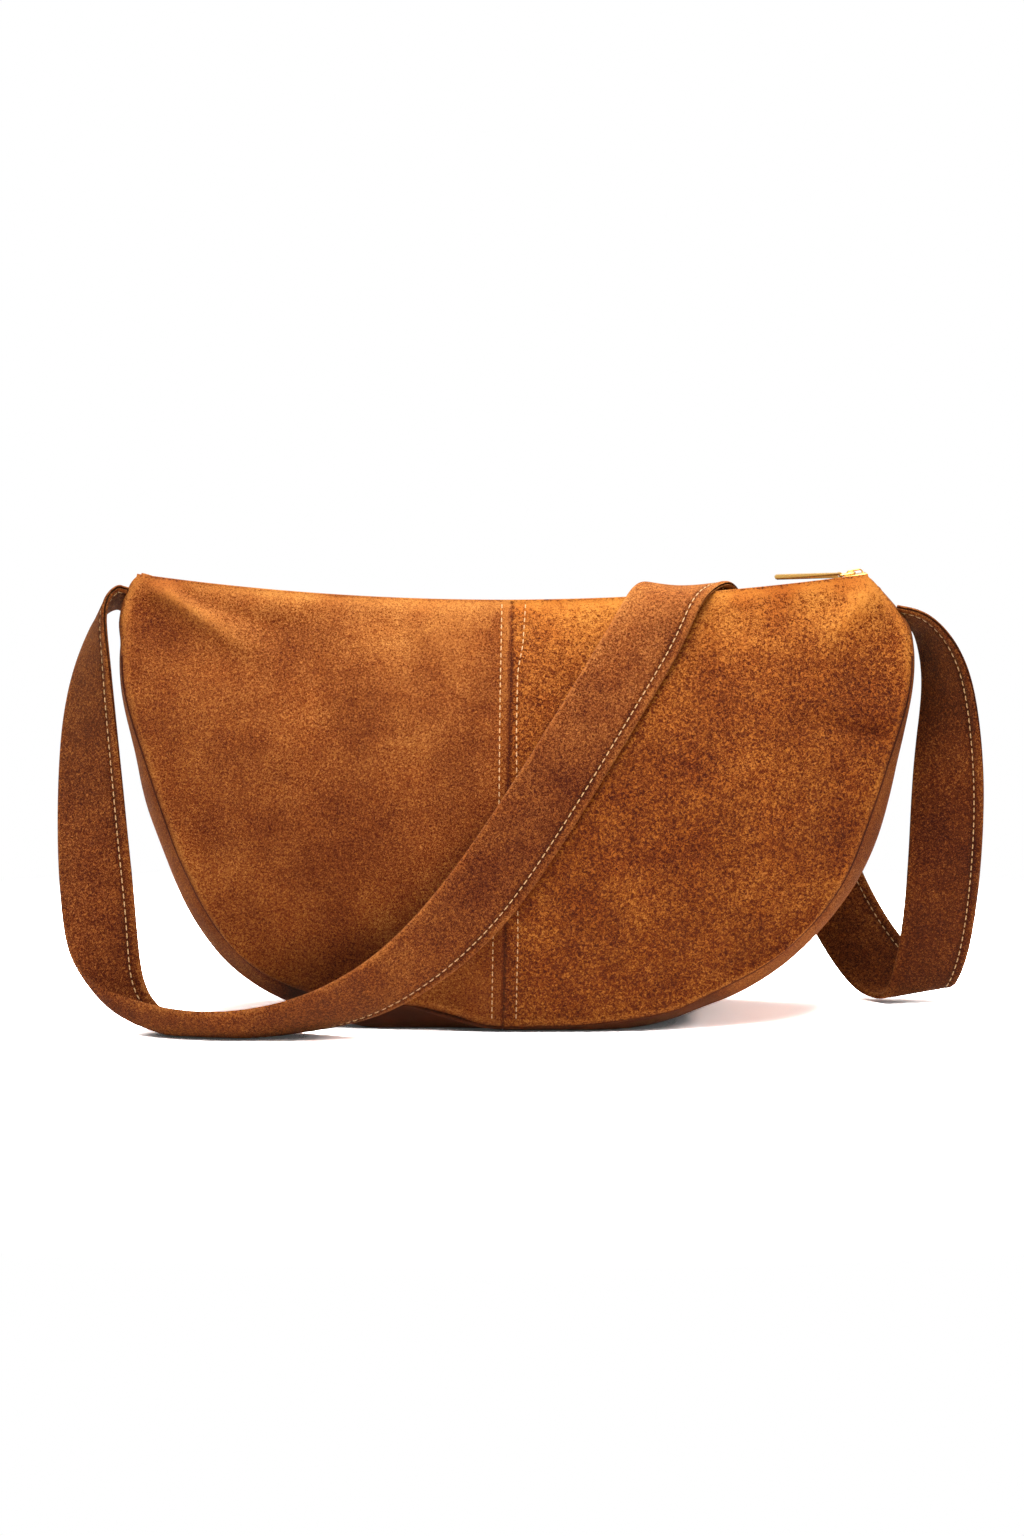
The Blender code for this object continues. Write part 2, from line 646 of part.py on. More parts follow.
def build_pull(slider):
    """The wire link through the bridge, and the pull bar on the link."""
    home = chain_frame(SLIDER_PARK)
    turn = home.to_3x3().to_4x4()
    half_width = PULL_WIDTH / 2 + GAP + LINK_WIRE / 2
    path = []
    for corner_x, corner_y, start in (
        (-LINK_CORNER, half_width - LINK_CORNER, 0.0),
        (-LINK_LENGTH + LINK_CORNER, half_width - LINK_CORNER, 90.0),
        (-LINK_LENGTH + LINK_CORNER, -half_width + LINK_CORNER, 180.0),
        (-LINK_CORNER, -half_width + LINK_CORNER, 270.0),
    ):
        for step in range(LINK_CORNER_STEPS + 1):
            angle = math.radians(start + 90.0 * step / LINK_CORNER_STEPS)
            x = corner_x + LINK_CORNER * math.cos(angle)
            y = corner_y + LINK_CORNER * math.sin(angle)
            path.append((x, y))
    curve = bpy.data.curves.new("zip_pull_ring", "CURVE")
    curve.dimensions = "3D"
    curve.bevel_depth = LINK_WIRE / 2
    curve.bevel_resolution = 1
    curve.resolution_u = 1
    spline = curve.splines.new("POLY")
    spline.points.add(len(path) - 1)
    for point, (x, y) in zip(spline.points, path):
        place = turn @ Vector((x, y, 0.0))
        point.co = (place.x, place.y, place.z, 1.0)
    spline.use_cyclic_u = True
    hinge = home @ Vector((0.0, 0.0, LINK_HEIGHT))
    link = add_object("zip_pull_ring", curve, BRASS_FINISH, hinge - slider.location, slider)

    hole = LINK_WIRE / 2 + GAP
    eye = hole + PULL_EYE_WALL
    flat = PULL_THICKNESS / 2
    neck = math.asin(min(1.0, flat / eye)) if flat < eye else math.pi / 2
    outer = []
    for step in range(EYE_STEPS + 1):
        angle = -(math.pi - neck) + 2.0 * (math.pi - neck) * step / EYE_STEPS
        outer.append((eye * math.cos(angle), eye * math.sin(angle)))
    tip = -PULL_LENGTH
    tip_reach = tip + flat * PULL_TIP_REACH_SHARE
    tip_half = flat * PULL_TIP_HALF_SHARE
    outer += [(tip + flat, flat), (tip_reach, tip_half), (tip, 0.0)]
    outer += [(tip_reach, -tip_half), (tip + flat, -flat)]
    inner = []
    for step in range(EYE_STEPS):
        angle = 2.0 * math.pi * step / EYE_STEPS
        inner.append((hole * math.cos(angle), hole * math.sin(angle)))
    bar = flat_outline("zip_pull_bar", [outer, inner], PULL_WIDTH)
    bar.transform(turn @ Matrix.Rotation(math.radians(PULL_RISE_DEGREES), 4, "Y") @ ALONG_CHAIN)
    far = home @ Vector((-LINK_LENGTH, 0.0, LINK_HEIGHT))
    add_object("zip_pull_bar", bar, BRASS_FINISH, far - hinge, link)


# The strap

def strap_stations():
    """Centre and stitched-edge direction of every hand-set strap station."""
    def placed(shares):
        return Vector((shares[0] * HALF_LENGTH, shares[1] * BASE_HALF_DEPTH, shares[2] * HEIGHT))

    stations = [strap_root(-1, STRAP_ROOT_LEFT_HEIGHT, STRAP_ROOT_EDGE_SHARES)]
    stations += [(placed(centre), Vector(edge)) for centre, edge in STRAP_FRONT_SHARES]
    for (along_share, across_share), edge in STRAP_RIDGE_SHARES:
        x = along_share * HALF_LENGTH
        y = across_share * MOUTH_HALF_DEPTH
        z = lip_height(x + LEAN) + strap_lift(y)
        stations.append((Vector((x, y, z)), Vector(edge)))
    stations += [(placed(centre), Vector(edge)) for centre, edge in STRAP_BACK_SHARES]
    stations.append(strap_root(1, STRAP_ROOT_RIGHT_HEIGHT, STRAP_ROOT_EDGE_SHARES))
    return stations


def strap_root(side, height, edge):
    """Where a strap end is sewn: on the gusset's mid line at a height."""
    low, high = PATCH_CORNER_SHARE, 1.0
    for _ in range(OUTLINE_POINTS):
        share = (low + high) / 2
        if along(OUTLINE, share).z < height:
            low = share
        else:
            high = share
    ends = []
    for share in (low, low - ROOT_SHARE_STEP, low + ROOT_SHARE_STEP):
        point = along(OUTLINE, share) + outline_normal(share) * (GAP + STRAP_THICKNESS / 3)
        point.x *= side
        ends.append(leaned(point))
    rise = (ends[2] - ends[1]).normalized()
    return ends[0], Vector((0.0, -edge[0], 0.0)) + rise * edge[1]


def strap_lift(y):
    """Height of the strap's middle layer over the lips, highest at mid depth."""
    reach = min(1.0, abs(y) / MOUTH_HALF_DEPTH)
    rest = STRAP_THICKNESS / 2 + 2.0 * STRAP_REST_CLEARANCE
    return rest + STRAP_CREST_RISE * (1.0 - reach * reach)


def smooth_route(points, steps):
    """Points of a Catmull-Rom curve through the given ones."""
    route = []
    for index in range(len(points) - 1):
        a = points[max(0, index - 1)]
        b = points[index]
        c = points[index + 1]
        d = points[min(len(points) - 1, index + 2)]
        for step in range(steps):
            t = step / steps
            route.append(
                (b * 2.0 + (c - a) * t + (a * 2.0 - b * 5.0 + c * 4.0 - d) * t ** 2
                 + (b * 3.0 - a - c * 3.0 + d) * t ** 3) * 0.5
            )
    route.append(points[-1])
    return route


def rested(point, rests):
    """Keep a strap point off the floor, the panels and the lips."""
    reach = STRAP_THICKNESS / 2 + STRAP_REST_CLEARANCE
    point = point.copy()
    point.z = max(point.z, STRAP_THICKNESS / 2 + GAP)
    lip = lip_height(point.x + LEAN)
    over_mouth = abs(point.y) < MOUTH_HALF_DEPTH + reach and point.z > lip - 2.0 * MOUTH_HALF_DEPTH
    if over_mouth and abs(point.x + LEAN) < MOUTH_HALF_LENGTH and point.z > lip - reach:
        point.z = max(point.z, lip + strap_lift(point.y))
        return point
    face = 1 if point.y < 0.0 else -1
    for drop in (0.0, STRAP_THICKNESS):
        start = Vector((point.x, -face * HEIGHT, point.z - drop))
        hit = rests[face].ray_cast(start, Vector((0.0, face, 0.0)))[0]
        if hit is not None:
            point.y = -face * max(abs(point.y), abs(hit.y) + reach)
    return point


def build_strap(rests):
    """The sewn strap as one ribbon from gusset to gusset."""
    stations = strap_stations()
    centres = smooth_route([centre for centre, edge in stations], STRAP_STEPS)
    edges = smooth_route([edge for centre, edge in stations], STRAP_STEPS)
    count = len(centres)
    last = count - 1

    def place(u, v):
        index = round(v * last)
        point = centres[index] + edges[index].normalized() * STRAP_WIDTH * (u - 0.5)
        if index in (0, last):
            return point
        return rested(point, rests)

    data = to_mesh("strap", mapped_grid(2, last, place))
    length = sum((b - a).length for a, b in zip(centres, centres[1:]))
    print("strap length between its seams, mm:", round(length * 1000))
    add_wall(add_object("strap", data, STRAP_FINISH), STRAP_THICKNESS, 0.0)


def main():
    """Build the bag, shell first, then lining, zip and strap."""
    clear_scene()
    bpy.context.scene.collection.children.link(BAG)
    bpy.context.scene.collection.children.link(CUTTERS)
    rests = build_panels()
    build_gusset()
    build_lining()
    build_tapes()
    build_stops()
    build_pull(build_slider())
    build_strap(rests)
    print("zip arc centre, m:", [round(value, 6) for value in ZIP_CENTRE])
    home = chain_frame(SLIDER_PARK)
    print("link hinge, m:", [round(value, 6) for value in home @ Vector((0.0, 0.0, LINK_HEIGHT))])
    print("bar hinge, m:", [round(value, 6) for value in home @ Vector((-LINK_LENGTH, 0.0, LINK_HEIGHT))])
    print("zip travel, degrees:", round(math.degrees((SLIDER_PARK - SLIDER_TRAVEL_END) / ZIP_RADIUS), 3))


main()
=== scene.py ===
"""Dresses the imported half-moon suede shoulder bag.

The frame is the CAD's own: metres, +Z up, the bag faces -Y and stands on its base at Z = 0.
Suede panels, gusset, lining, zip, strap and threads are each modelled as their own pieces.
"""
import functools
import logging
import math
from dataclasses import dataclass
from enum import Enum
from typing import Callable, Iterable, Sequence

import bpy
import numpy as np
from mathutils import Matrix, Vector, noise
from mathutils.bvhtree import BVHTree
from mathutils.geometry import interpolate_bezier


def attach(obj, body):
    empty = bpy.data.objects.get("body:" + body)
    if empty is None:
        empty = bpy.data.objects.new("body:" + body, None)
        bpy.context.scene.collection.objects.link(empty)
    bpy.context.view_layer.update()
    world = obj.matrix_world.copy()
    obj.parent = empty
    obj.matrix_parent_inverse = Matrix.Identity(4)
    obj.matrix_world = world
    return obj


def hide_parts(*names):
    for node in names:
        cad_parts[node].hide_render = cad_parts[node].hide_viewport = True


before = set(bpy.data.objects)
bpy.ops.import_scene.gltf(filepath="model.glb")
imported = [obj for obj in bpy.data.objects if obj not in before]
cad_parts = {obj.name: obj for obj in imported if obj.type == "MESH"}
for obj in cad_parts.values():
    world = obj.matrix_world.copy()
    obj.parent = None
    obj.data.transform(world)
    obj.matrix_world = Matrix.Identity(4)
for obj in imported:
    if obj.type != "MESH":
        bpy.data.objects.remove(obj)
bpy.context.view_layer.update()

LOG = logging.getLogger("half_moon_bag")
MM = 0.001
CLOTH_ANGLE = 60.0  # Degrees: sharper edges of suede and cloth stay sharp.
SMALL_ANGLE = 50.0  # Degrees: the same for stitches and teeth.
WAVE_PERIOD = 0.314  # Metres: a wave texture of scale 1 repeats this far apart.
Piece = bpy.types.Object
Material = bpy.types.Material
Rails = list[list[Vector]]  # The strap's fold, middle and stitched edge.
SoftPoint = tuple[Vector, float, float]  # A point, its rub and painted highlight, and its press and painted shade.


class Face(Enum):
    """The bag's front and back, as the sign of their depth."""
    FRONT = 1
    BACK = -1


class Side(Enum):
    """The viewer's left and right, as the sign of X."""
    LEFT = -1
    RIGHT = 1


class Body(Enum):
    """The CAD bodies that pieces ride on."""
    BAG = "bag"
    SLIDER = "slider"
    LINK = "pull_ring"
    BAR = "pull_bar"


# Helpers for materials and meshes

def linear(code: str) -> tuple[float, float, float, float]:
    """Turn an sRGB hex colour into linear RGBA.

    Args:
        code: the colour as "#RRGGBB".

    Returns:
        The linear red, green, blue and alpha.
    """
    def channel(start: int) -> float:
        """One channel of the code, made linear."""
        value = int(code[start:start + 2], 16) / 255.0
        return value / 12.92 if value <= 0.04045 else ((value + 0.055) / 1.055) ** 2.4

    return channel(1), channel(3), channel(5), 1.0


def add_node(tree: bpy.types.NodeTree, kind: str, settings: dict | None = None,
             links: dict | None = None) -> bpy.types.Node:
    """Add a node with its settings and links.

    Args:
        tree: the node tree to add to.
        kind: the node's type name.
        settings: values of inputs by name or number, of properties by name, and a ramp's "stops".
        links: sockets to link, by the name or number of the input.

    Returns:
        The new node.
    """
    node = tree.nodes.new(kind)
    for key, value in (settings or {}).items():
        if key == "stops":
            while len(node.color_ramp.elements) < len(value):
                node.color_ramp.elements.new(0.5)
            for element, (place, colour) in zip(node.color_ramp.elements, value):
                element.position = place
                element.color = colour
        elif isinstance(key, int) or key in node.inputs:
            node.inputs[key].default_value = value
        else:
            setattr(node, key, value)
    for key, socket in (links or {}).items():
        tree.links.new(socket, node.inputs[key])
    return node


def select_only(obj: Piece) -> None:
    """Make one object the only selected and the active one.

    Args:
        obj: the object to select.
    """
    bpy.ops.object.select_all(action="DESELECT")
    obj.select_set(True)
    bpy.context.view_layer.objects.active = obj


def apply_modifier(obj: Piece, kind: str, **settings: object) -> None:
    """Add a modifier with its settings and apply it.

    Args:
        obj: the object to change.
        kind: the modifier's type name.
        settings: the modifier's properties.
    """
    select_only(obj)
    modifier = obj.modifiers.new(kind.lower(), kind)
    for key, value in settings.items():
        setattr(modifier, key, value)
    bpy.ops.object.modifier_apply(modifier=modifier.name)


def soften(obj: Piece, degrees: float) -> None:
    """Shade an object smooth, apart from edges sharper than an angle."""
    select_only(obj)
    bpy.ops.object.shade_smooth_by_angle(angle=math.radians(degrees))


def walled_sheet(name: str, grid: tuple[int, int], place: Callable[[float, float], SoftPoint],
                 wall: float, offset: float = -1.0) -> Piece:
    """Shape a grid by a function of two shares, mark its worn places and its painted highlight and
    shade, and give it its wall.

    Args:
        name: the new piece's name.
        grid: divisions along the first and the second share.
        place: gives the point, its rub and painted highlight, and its press and painted shade, for two
            shares from 0 to 1.
        wall: the sheet's thickness in metres.
        offset: -1 for a wall inward, 0 for one to both sides.

    Returns:
        The sheet, its faces turned away from the bag's middle.
    """
    columns, rows = grid
    bpy.ops.object.select_all(action="DESELECT")
    bpy.ops.mesh.primitive_grid_add(x_subdivisions=columns, y_subdivisions=rows, size=1.0)
    sheet = bpy.context.object
    sheet.name = name
    sheet.data.name = name
    found = [place(v.co.x + 0.5, v.co.y + 0.5) for v in sheet.data.vertices]
    for vertex, (point, _, _) in zip(sheet.data.vertices, found):
        vertex.co = point
    # Marks of rubbed nap with painted highlight, and of pressed nap with painted shade.
    for title, index in (("rub", 1), ("pressed", 2)):
        marks = sheet.data.attributes.new(title, "FLOAT", "POINT")
        marks.data.foreach_set("value", [spot[index] for spot in found])
    sheet.data.update()
    if sum(p.normal.dot(p.center - FORM.middle) for p in sheet.data.polygons) < 0.0:
        sheet.data.flip_normals()
    apply_modifier(sheet, "SOLIDIFY", thickness=wall, offset=offset)
    soften(sheet, CLOTH_ANGLE)
    return sheet


def tube_along(name: str, points: Sequence[Vector], radius: float, closed: bool = False,
               rings: int = 3) -> Piece:
    """A round tube along points, as mesh.

    Args:
        name: the new piece's name.
        points: the tube's centre line.
        radius: the tube's radius in metres.
        closed: whether the ends meet.
        rings: how finely the tube is rounded.

    Returns:
        The tube.
    """
    curve = bpy.data.curves.new(name, "CURVE")
    curve.dimensions = "3D"
    curve.bevel_depth = radius
    curve.bevel_resolution = rings
    curve.use_fill_caps = not closed
    spline = curve.splines.new("POLY")
    spline.points.add(len(points) - 1)
    for spot, point in zip(spline.points, points):
        spot.co = (point.x, point.y, point.z, 1.0)
    spline.use_cyclic_u = closed
    obj = bpy.data.objects.new(name, curve)
    bpy.context.scene.collection.objects.link(obj)
    select_only(obj)
    bpy.ops.object.convert(target="MESH")
    soften(bpy.context.object, CLOTH_ANGLE)
    return bpy.context.object


def repeated(name: str, master: Piece, frames: Sequence[Matrix]) -> Piece:
    """Copy one small shape to many places as one mesh, and remove the master.

    Args:
        name: the new piece's name.
        master: the shape, modelled about the origin.
        frames: the place and turn of every copy.

    Returns:
        The object that holds all copies.
    """
    corners = np.array([tuple(v.co) + (1.0,) for v in master.data.vertices])
    faces = [tuple(p.vertices) for p in master.data.polygons]
    points: list = []
    whole: list = []
    for turn in frames:
        first = len(points)
        points.extend((corners @ np.array(turn).T)[:, :3].tolist())
        whole.extend(tuple(first + index for index in face) for face in faces)
    mesh = bpy.data.meshes.new(name)
    mesh.from_pydata(points, [], whole)
    obj = bpy.data.objects.new(name, mesh)
    bpy.context.scene.collection.objects.link(obj)
    bpy.data.objects.remove(master, do_unlink=True)
    soften(obj, SMALL_ANGLE)
    return obj


def settle(piece: Piece, body: Body, finish: Material,
           nodes: Iterable[str] = (), slot: str = "") -> Piece:
    """Dress a finished piece, put it on its body and report it.

    Args:
        piece: the finished piece.
        body: the CAD body that it rides on.
        finish: its material.
        nodes: the CAD nodes that it stands for.
        slot: the record's material slot that it belongs to; not used.

    Returns:
        The piece.
    """
    piece.data.materials.clear()
    piece.data.materials.append(finish)
    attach(piece, body.value)
    if nodes:
        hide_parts(*nodes)
    LOG.info("%s rides on %s, %d faces", piece.name, body.value, len(piece.data.polygons))
    return piece


def smooth_share(value: float) -> float:
    """Ease from 0 to 1 with flat ends."""
    value = min(1.0, max(0.0, value))
    return value * value * (3.0 - 2.0 * value)


# Finishes

@dataclass(frozen=True)
class Finish:
    """What every finish has: a name and a Principled shader."""
    name: str

    def start(self, settings: dict) -> tuple:
        """Begin the material.

        Args:
            settings: constant values of the shader's own inputs.

        Returns:
            The material, its tree, its shader and the object coordinates.
        """
        material = bpy.data.materials.new(self.name)
        material.use_nodes = True
        tree = material.node_tree
        shader = tree.nodes["Principled BSDF"]
        for key, value in settings.items():
            shader.inputs[key].default_value = value
        return material, tree, shader, add_node(tree, "ShaderNodeTexCoord").outputs["Object"]


@dataclass(frozen=True)
class Suede(Finish):
    """Suede: leather with its flesh side sanded to a nap.

    To the eye it is matt and mottled, pale where rubbed and dark where pressed; the same marks also
    carry painted highlight and painted shade. Colours are sRGB.
    Real tufts are 0.2 to 0.5 mm wide. They are drawn two to three times coarser so that they show.
    """
    base: str
    light: str
    dark: str
    tuft_mm: float
    contrast: float
    bump_mm: float
    bump_strength: float = 0.85
    matt: float = 0.93
    gleam: float = 0.08
    sheen: float = 0.14
    sheen_spread: float = 0.45
    # Detail, roughness and swirl of the noise for tufts and for the fibres in them.
    tuft_noise: tuple = (3.0, 0.62, 1.1)
    fibre_noise: tuple = (2.0, 0.7, 1.8)
    fibres_per_tuft: float = 2.7
    fibre_share: float = 0.48
    # Tone shift of each mark: rubbed nap and painted highlight lighten it, pressed nap and painted
    # shade darken it.
    wear_and_painted_light: tuple = (("rub", 0.07), ("pressed", -0.11))
    tone_reach: float = 0.15
    # The hide's clouds: width in mm, detail, reach of the noise, darker and lighter tone.
    clouds: tuple = (
        (70.0, 2.0, 0.15, "#5E4A40", "#A39A92"),
        (34.0, 3.0, 0.16, "#AAA19C", "#CCC7C3"),
        (15.0, 3.0, 0.14, "#6A5448", "#948A82"),
    )
    cloud_roughness: float = 0.5
    cloud_share: float = 0.75

    def material(self) -> Material:
        """Build the suede's node material.

        Returns:
            The material.
        """
        material, tree, shader, coords = self.start({
            "Roughness": self.matt, "Specular IOR Level": self.gleam, "Sheen Weight": self.sheen,
            "Sheen Roughness": self.sheen_spread, "Sheen Tint": linear(self.light),
        })
        layers = []
        for number, shape in ((1.0, self.tuft_noise), (self.fibres_per_tuft, self.fibre_noise)):
            settings = dict(zip(("Detail", "Roughness", "Distortion"), shape))
            settings["Scale"] = number / (self.tuft_mm * MM)
            layer = add_node(tree, "ShaderNodeTexNoise", settings, {"Vector": coords})
            layers.append(layer.outputs["Fac"])
        nap = add_node(
            tree, "ShaderNodeMix", {"data_type": "FLOAT", 0: self.fibre_share},
            {2: layers[0], 3: layers[1]}).outputs[0]
        tone = nap
        # The marks shift the tone: rubbed nap and painted highlight lighter, pressed nap and painted
        # shade darker.
        for mark, amount in self.wear_and_painted_light:
            worn = add_node(tree, "ShaderNodeAttribute", {"attribute_name": mark}).outputs["Fac"]
            tone = add_node(
                tree, "ShaderNodeMath", {"operation": "MULTIPLY_ADD", 1: amount}, {0: worn, 2: tone}
            ).outputs[0]
        spread = self.tone_reach / self.contrast
        colour = add_node(
            tree, "ShaderNodeValToRGB",
            {"stops": [(0.5 - spread, linear(self.dark)), (0.5, linear(self.base)),
                       (0.5 + spread, linear(self.light))]},
            {"Fac": tone},
        ).outputs["Color"]
        for width_mm, detail, reach, low, high in self.clouds:
            cloud = add_node(
                tree, "ShaderNodeTexNoise",
                {"Scale": 1.0 / (width_mm * MM), "Detail": detail, "Roughness": self.cloud_roughness},
                {"Vector": coords},
            ).outputs["Fac"]
            shade = add_node(
                tree, "ShaderNodeValToRGB",
                {"stops": [(0.5 - reach, linear(low)), (0.5 + reach, linear(high))]},
                {"Fac": cloud},
            ).outputs["Color"]
            colour = add_node(
                tree, "ShaderNodeMix",
                {"data_type": "RGBA", "blend_type": "SOFT_LIGHT", 0: self.cloud_share},
                {6: colour, 7: shade},
            ).outputs[2]
        bump = add_node(
            tree, "ShaderNodeBump", {"Strength": self.bump_strength, "Distance": self.bump_mm * MM},
            {"Height": nap})
        tree.links.new(colour, shader.inputs["Base Color"])
        tree.links.new(bump.outputs["Normal"], shader.inputs["Normal"])
        return material


@dataclass(frozen=True)
class Weave(Finish):
    """Cotton or polyester cloth, woven: to the eye fine diagonal ribs, dull and slightly uneven.

    Real ribs are about 0.5 mm apart. They are drawn nearly twice as coarse so that they show.
    """
    base: str
    dark: str
    rib_mm: float
    matt: float = 0.82
    gleam: float = 0.25
    sway: float = 0.4
    detail: float = 1.0
    bump_mm: float = 0.15
    bump_strength: float = 0.6

    def material(self) -> Material:
        """Build the cloth's node material.

        Returns:
            The material.
        """
        material, tree, shader, coords = self.start(
            {"Roughness": self.matt, "Specular IOR Level": self.gleam})
        ribs = []
        for direction in ("DIAGONAL", "X"):
            ribs.append(add_node(
                tree, "ShaderNodeTexWave",
                {"bands_direction": direction, "Scale": WAVE_PERIOD / (self.rib_mm * MM),
                 "Distortion": self.sway, "Detail": self.detail},
                {"Vector": coords},
            ).outputs["Fac"])
        weave = add_node(
            tree, "ShaderNodeMath", {"operation": "MULTIPLY"}, {0: ribs[0], 1: ribs[1]}
        ).outputs[0]
        colour = add_node(
            tree, "ShaderNodeMix", {"data_type": "RGBA", 6: linear(self.dark), 7: linear(self.base)},
            {0: weave},
        ).outputs[2]
        bump = add_node(
            tree, "ShaderNodeBump", {"Strength": self.bump_strength, "Distance": self.bump_mm * MM},
            {"Height": weave})
        tree.links.new(colour, shader.inputs["Base Color"])
        tree.links.new(bump.outputs["Normal"], shader.inputs["Normal"])
        return material


@dataclass(frozen=True)
class PlatedMetal(Finish):
    """Die-cast zinc or stamped brass, plated light gold: a warm mirror, slightly brushed by use.

    Handling scratches are far finer than a pixel. They are drawn 0.67 mm apart and 6.7 mm long.
    """
    base: str
    worn: str
    roughness: float
    scratch_mm: tuple = (20.0 / 3.0, 2.0 / 3.0, 2.0 / 3.0)
    scratch_detail: float = 3.0
    scratch_roughness: float = 0.7
    scratch_reach: tuple = (0.35, 0.65)
    rough_reach: tuple = (0.8, 1.3)
    bump_mm: float = 0.04
    bump_strength: float = 0.06

    def material(self) -> Material:
        """Build the plated metal's node material.

        Returns:
            The material.
        """
        material, tree, shader, coords = self.start({"Metallic": 1.0})
        stretched = add_node(
            tree, "ShaderNodeMapping", {"Scale": tuple(1.0 / (size * MM) for size in self.scratch_mm)},
            {"Vector": coords},
        ).outputs["Vector"]
        scratches = add_node(
            tree, "ShaderNodeTexNoise",
            {"Scale": 1.0, "Detail": self.scratch_detail, "Roughness": self.scratch_roughness},
            {"Vector": stretched},
        ).outputs["Fac"]
        colour = add_node(
            tree, "ShaderNodeMix", {"data_type": "RGBA", 6: linear(self.base), 7: linear(self.worn)},
            {0: scratches},
        ).outputs[2]
        (low, high), (smooth, rough) = self.scratch_reach, self.rough_reach
        roughness = add_node(
            tree, "ShaderNodeMapRange",
            {"From Min": low, "From Max": high, "To Min": self.roughness * smooth,
             "To Max": self.roughness * rough},
            {"Value": scratches},
        ).outputs["Result"]
        tree.links.new(roughness, shader.inputs["Roughness"])
        bump = add_node(
            tree, "ShaderNodeBump", {"Strength": self.bump_strength, "Distance": self.bump_mm * MM},
            {"Height": scratches})
        tree.links.new(colour, shader.inputs["Base Color"])
        tree.links.new(bump.outputs["Normal"], shader.inputs["Normal"])
        return material


@dataclass(frozen=True)
class Thread(Finish):
    """Polyester sewing thread, three plies twisted: to the eye pale, with a slight gloss."""
    base: str
    dark: str
    twist_mm: float = 0.628
    sway: float = 1.0
    matt: float = 0.55
    gleam: float = 0.35
    bump_mm: float = 0.1
    bump_strength: float = 0.4

    def material(self) -> Material:
        """Build the thread's node material.

        Returns:
            The material.
        """
        material, tree, shader, coords = self.start(
            {"Roughness": self.matt, "Specular IOR Level": self.gleam})
        twist = add_node(
            tree, "ShaderNodeTexWave",
            {"bands_direction": "DIAGONAL", "Scale": WAVE_PERIOD / (self.twist_mm * MM),
             "Distortion": self.sway},
            {"Vector": coords},
        ).outputs["Fac"]
        colour = add_node(
            tree, "ShaderNodeMix", {"data_type": "RGBA", 6: linear(self.dark), 7: linear(self.base)},
            {0: twist},
        ).outputs[2]
        bump = add_node(
            tree, "ShaderNodeBump", {"Strength": self.bump_strength, "Distance": self.bump_mm * MM},
            {"Height": twist})
        tree.links.new(colour, shader.inputs["Base Color"])
        tree.links.new(bump.outputs["Normal"], shader.inputs["Normal"])
        return material


@dataclass(frozen=True)
class Wardrobe:
    """Every finish of the bag, made once."""
    # Left panels: flesh side sanded fine, a short even nap that shows soft clouds.
    fine_suede: Suede = Suede("fine_nap_suede", "#8A4A18", "#C69958", "#501F08", 0.80, 1.55, 0.9)
    # Right panels: a split sanded coarse, longer open tufts, more orange, grainy light and dark.
    coarse_suede: Suede = Suede("coarse_nap_suede", "#8C4914", "#CD9A4E", "#481A06", 1.3, 1.75, 1.6)
    # Gusset: fine suede again, its nap turned away from the light.
    gusset_suede: Suede = Suede("gusset_suede", "#8E4E1E", "#C49455", "#4C1E09", 0.8, 1.6, 0.8)
    # Strap: folded and pressed flat, so the nap lies close and looks a little darker.
    strap_suede: Suede = Suede("strap_suede", "#814518", "#C09155", "#461E0A", 1.0, 1.7, 0.9)
    # Turned seam edges: hammered flat, dark and almost even; their darkness is partly painted shade of
    # the groove they fill.
    seam_suede: Suede = Suede("turned_seam_suede", "#54301A", "#7A4A28", "#38190B", 1.2, 1.0, 0.5)
    # Lining: cotton twill. Tapes: polyester herringbone.
    lining_cloth: Weave = Weave("lining_twill", "#6B4A32", "#4A3120", 0.9)
    tape_cloth: Weave = Weave("zip_tape_herringbone", "#6A4527", "#432A16", 0.8)
    # Slider and pull: polished before plating. Teeth and stops: stamped, so a little rougher.
    gold_metal: PlatedMetal = PlatedMetal("light_gold_plate", "#E0B465", "#BC8C46", 0.26)
    tooth_metal: PlatedMetal = PlatedMetal("brass_zip_teeth", "#CDA860", "#A9813F", 0.32)
    cream_thread: Thread = Thread("cream_thread", "#CDA672", "#9C703F")


# The bag's own form, as the solids have it

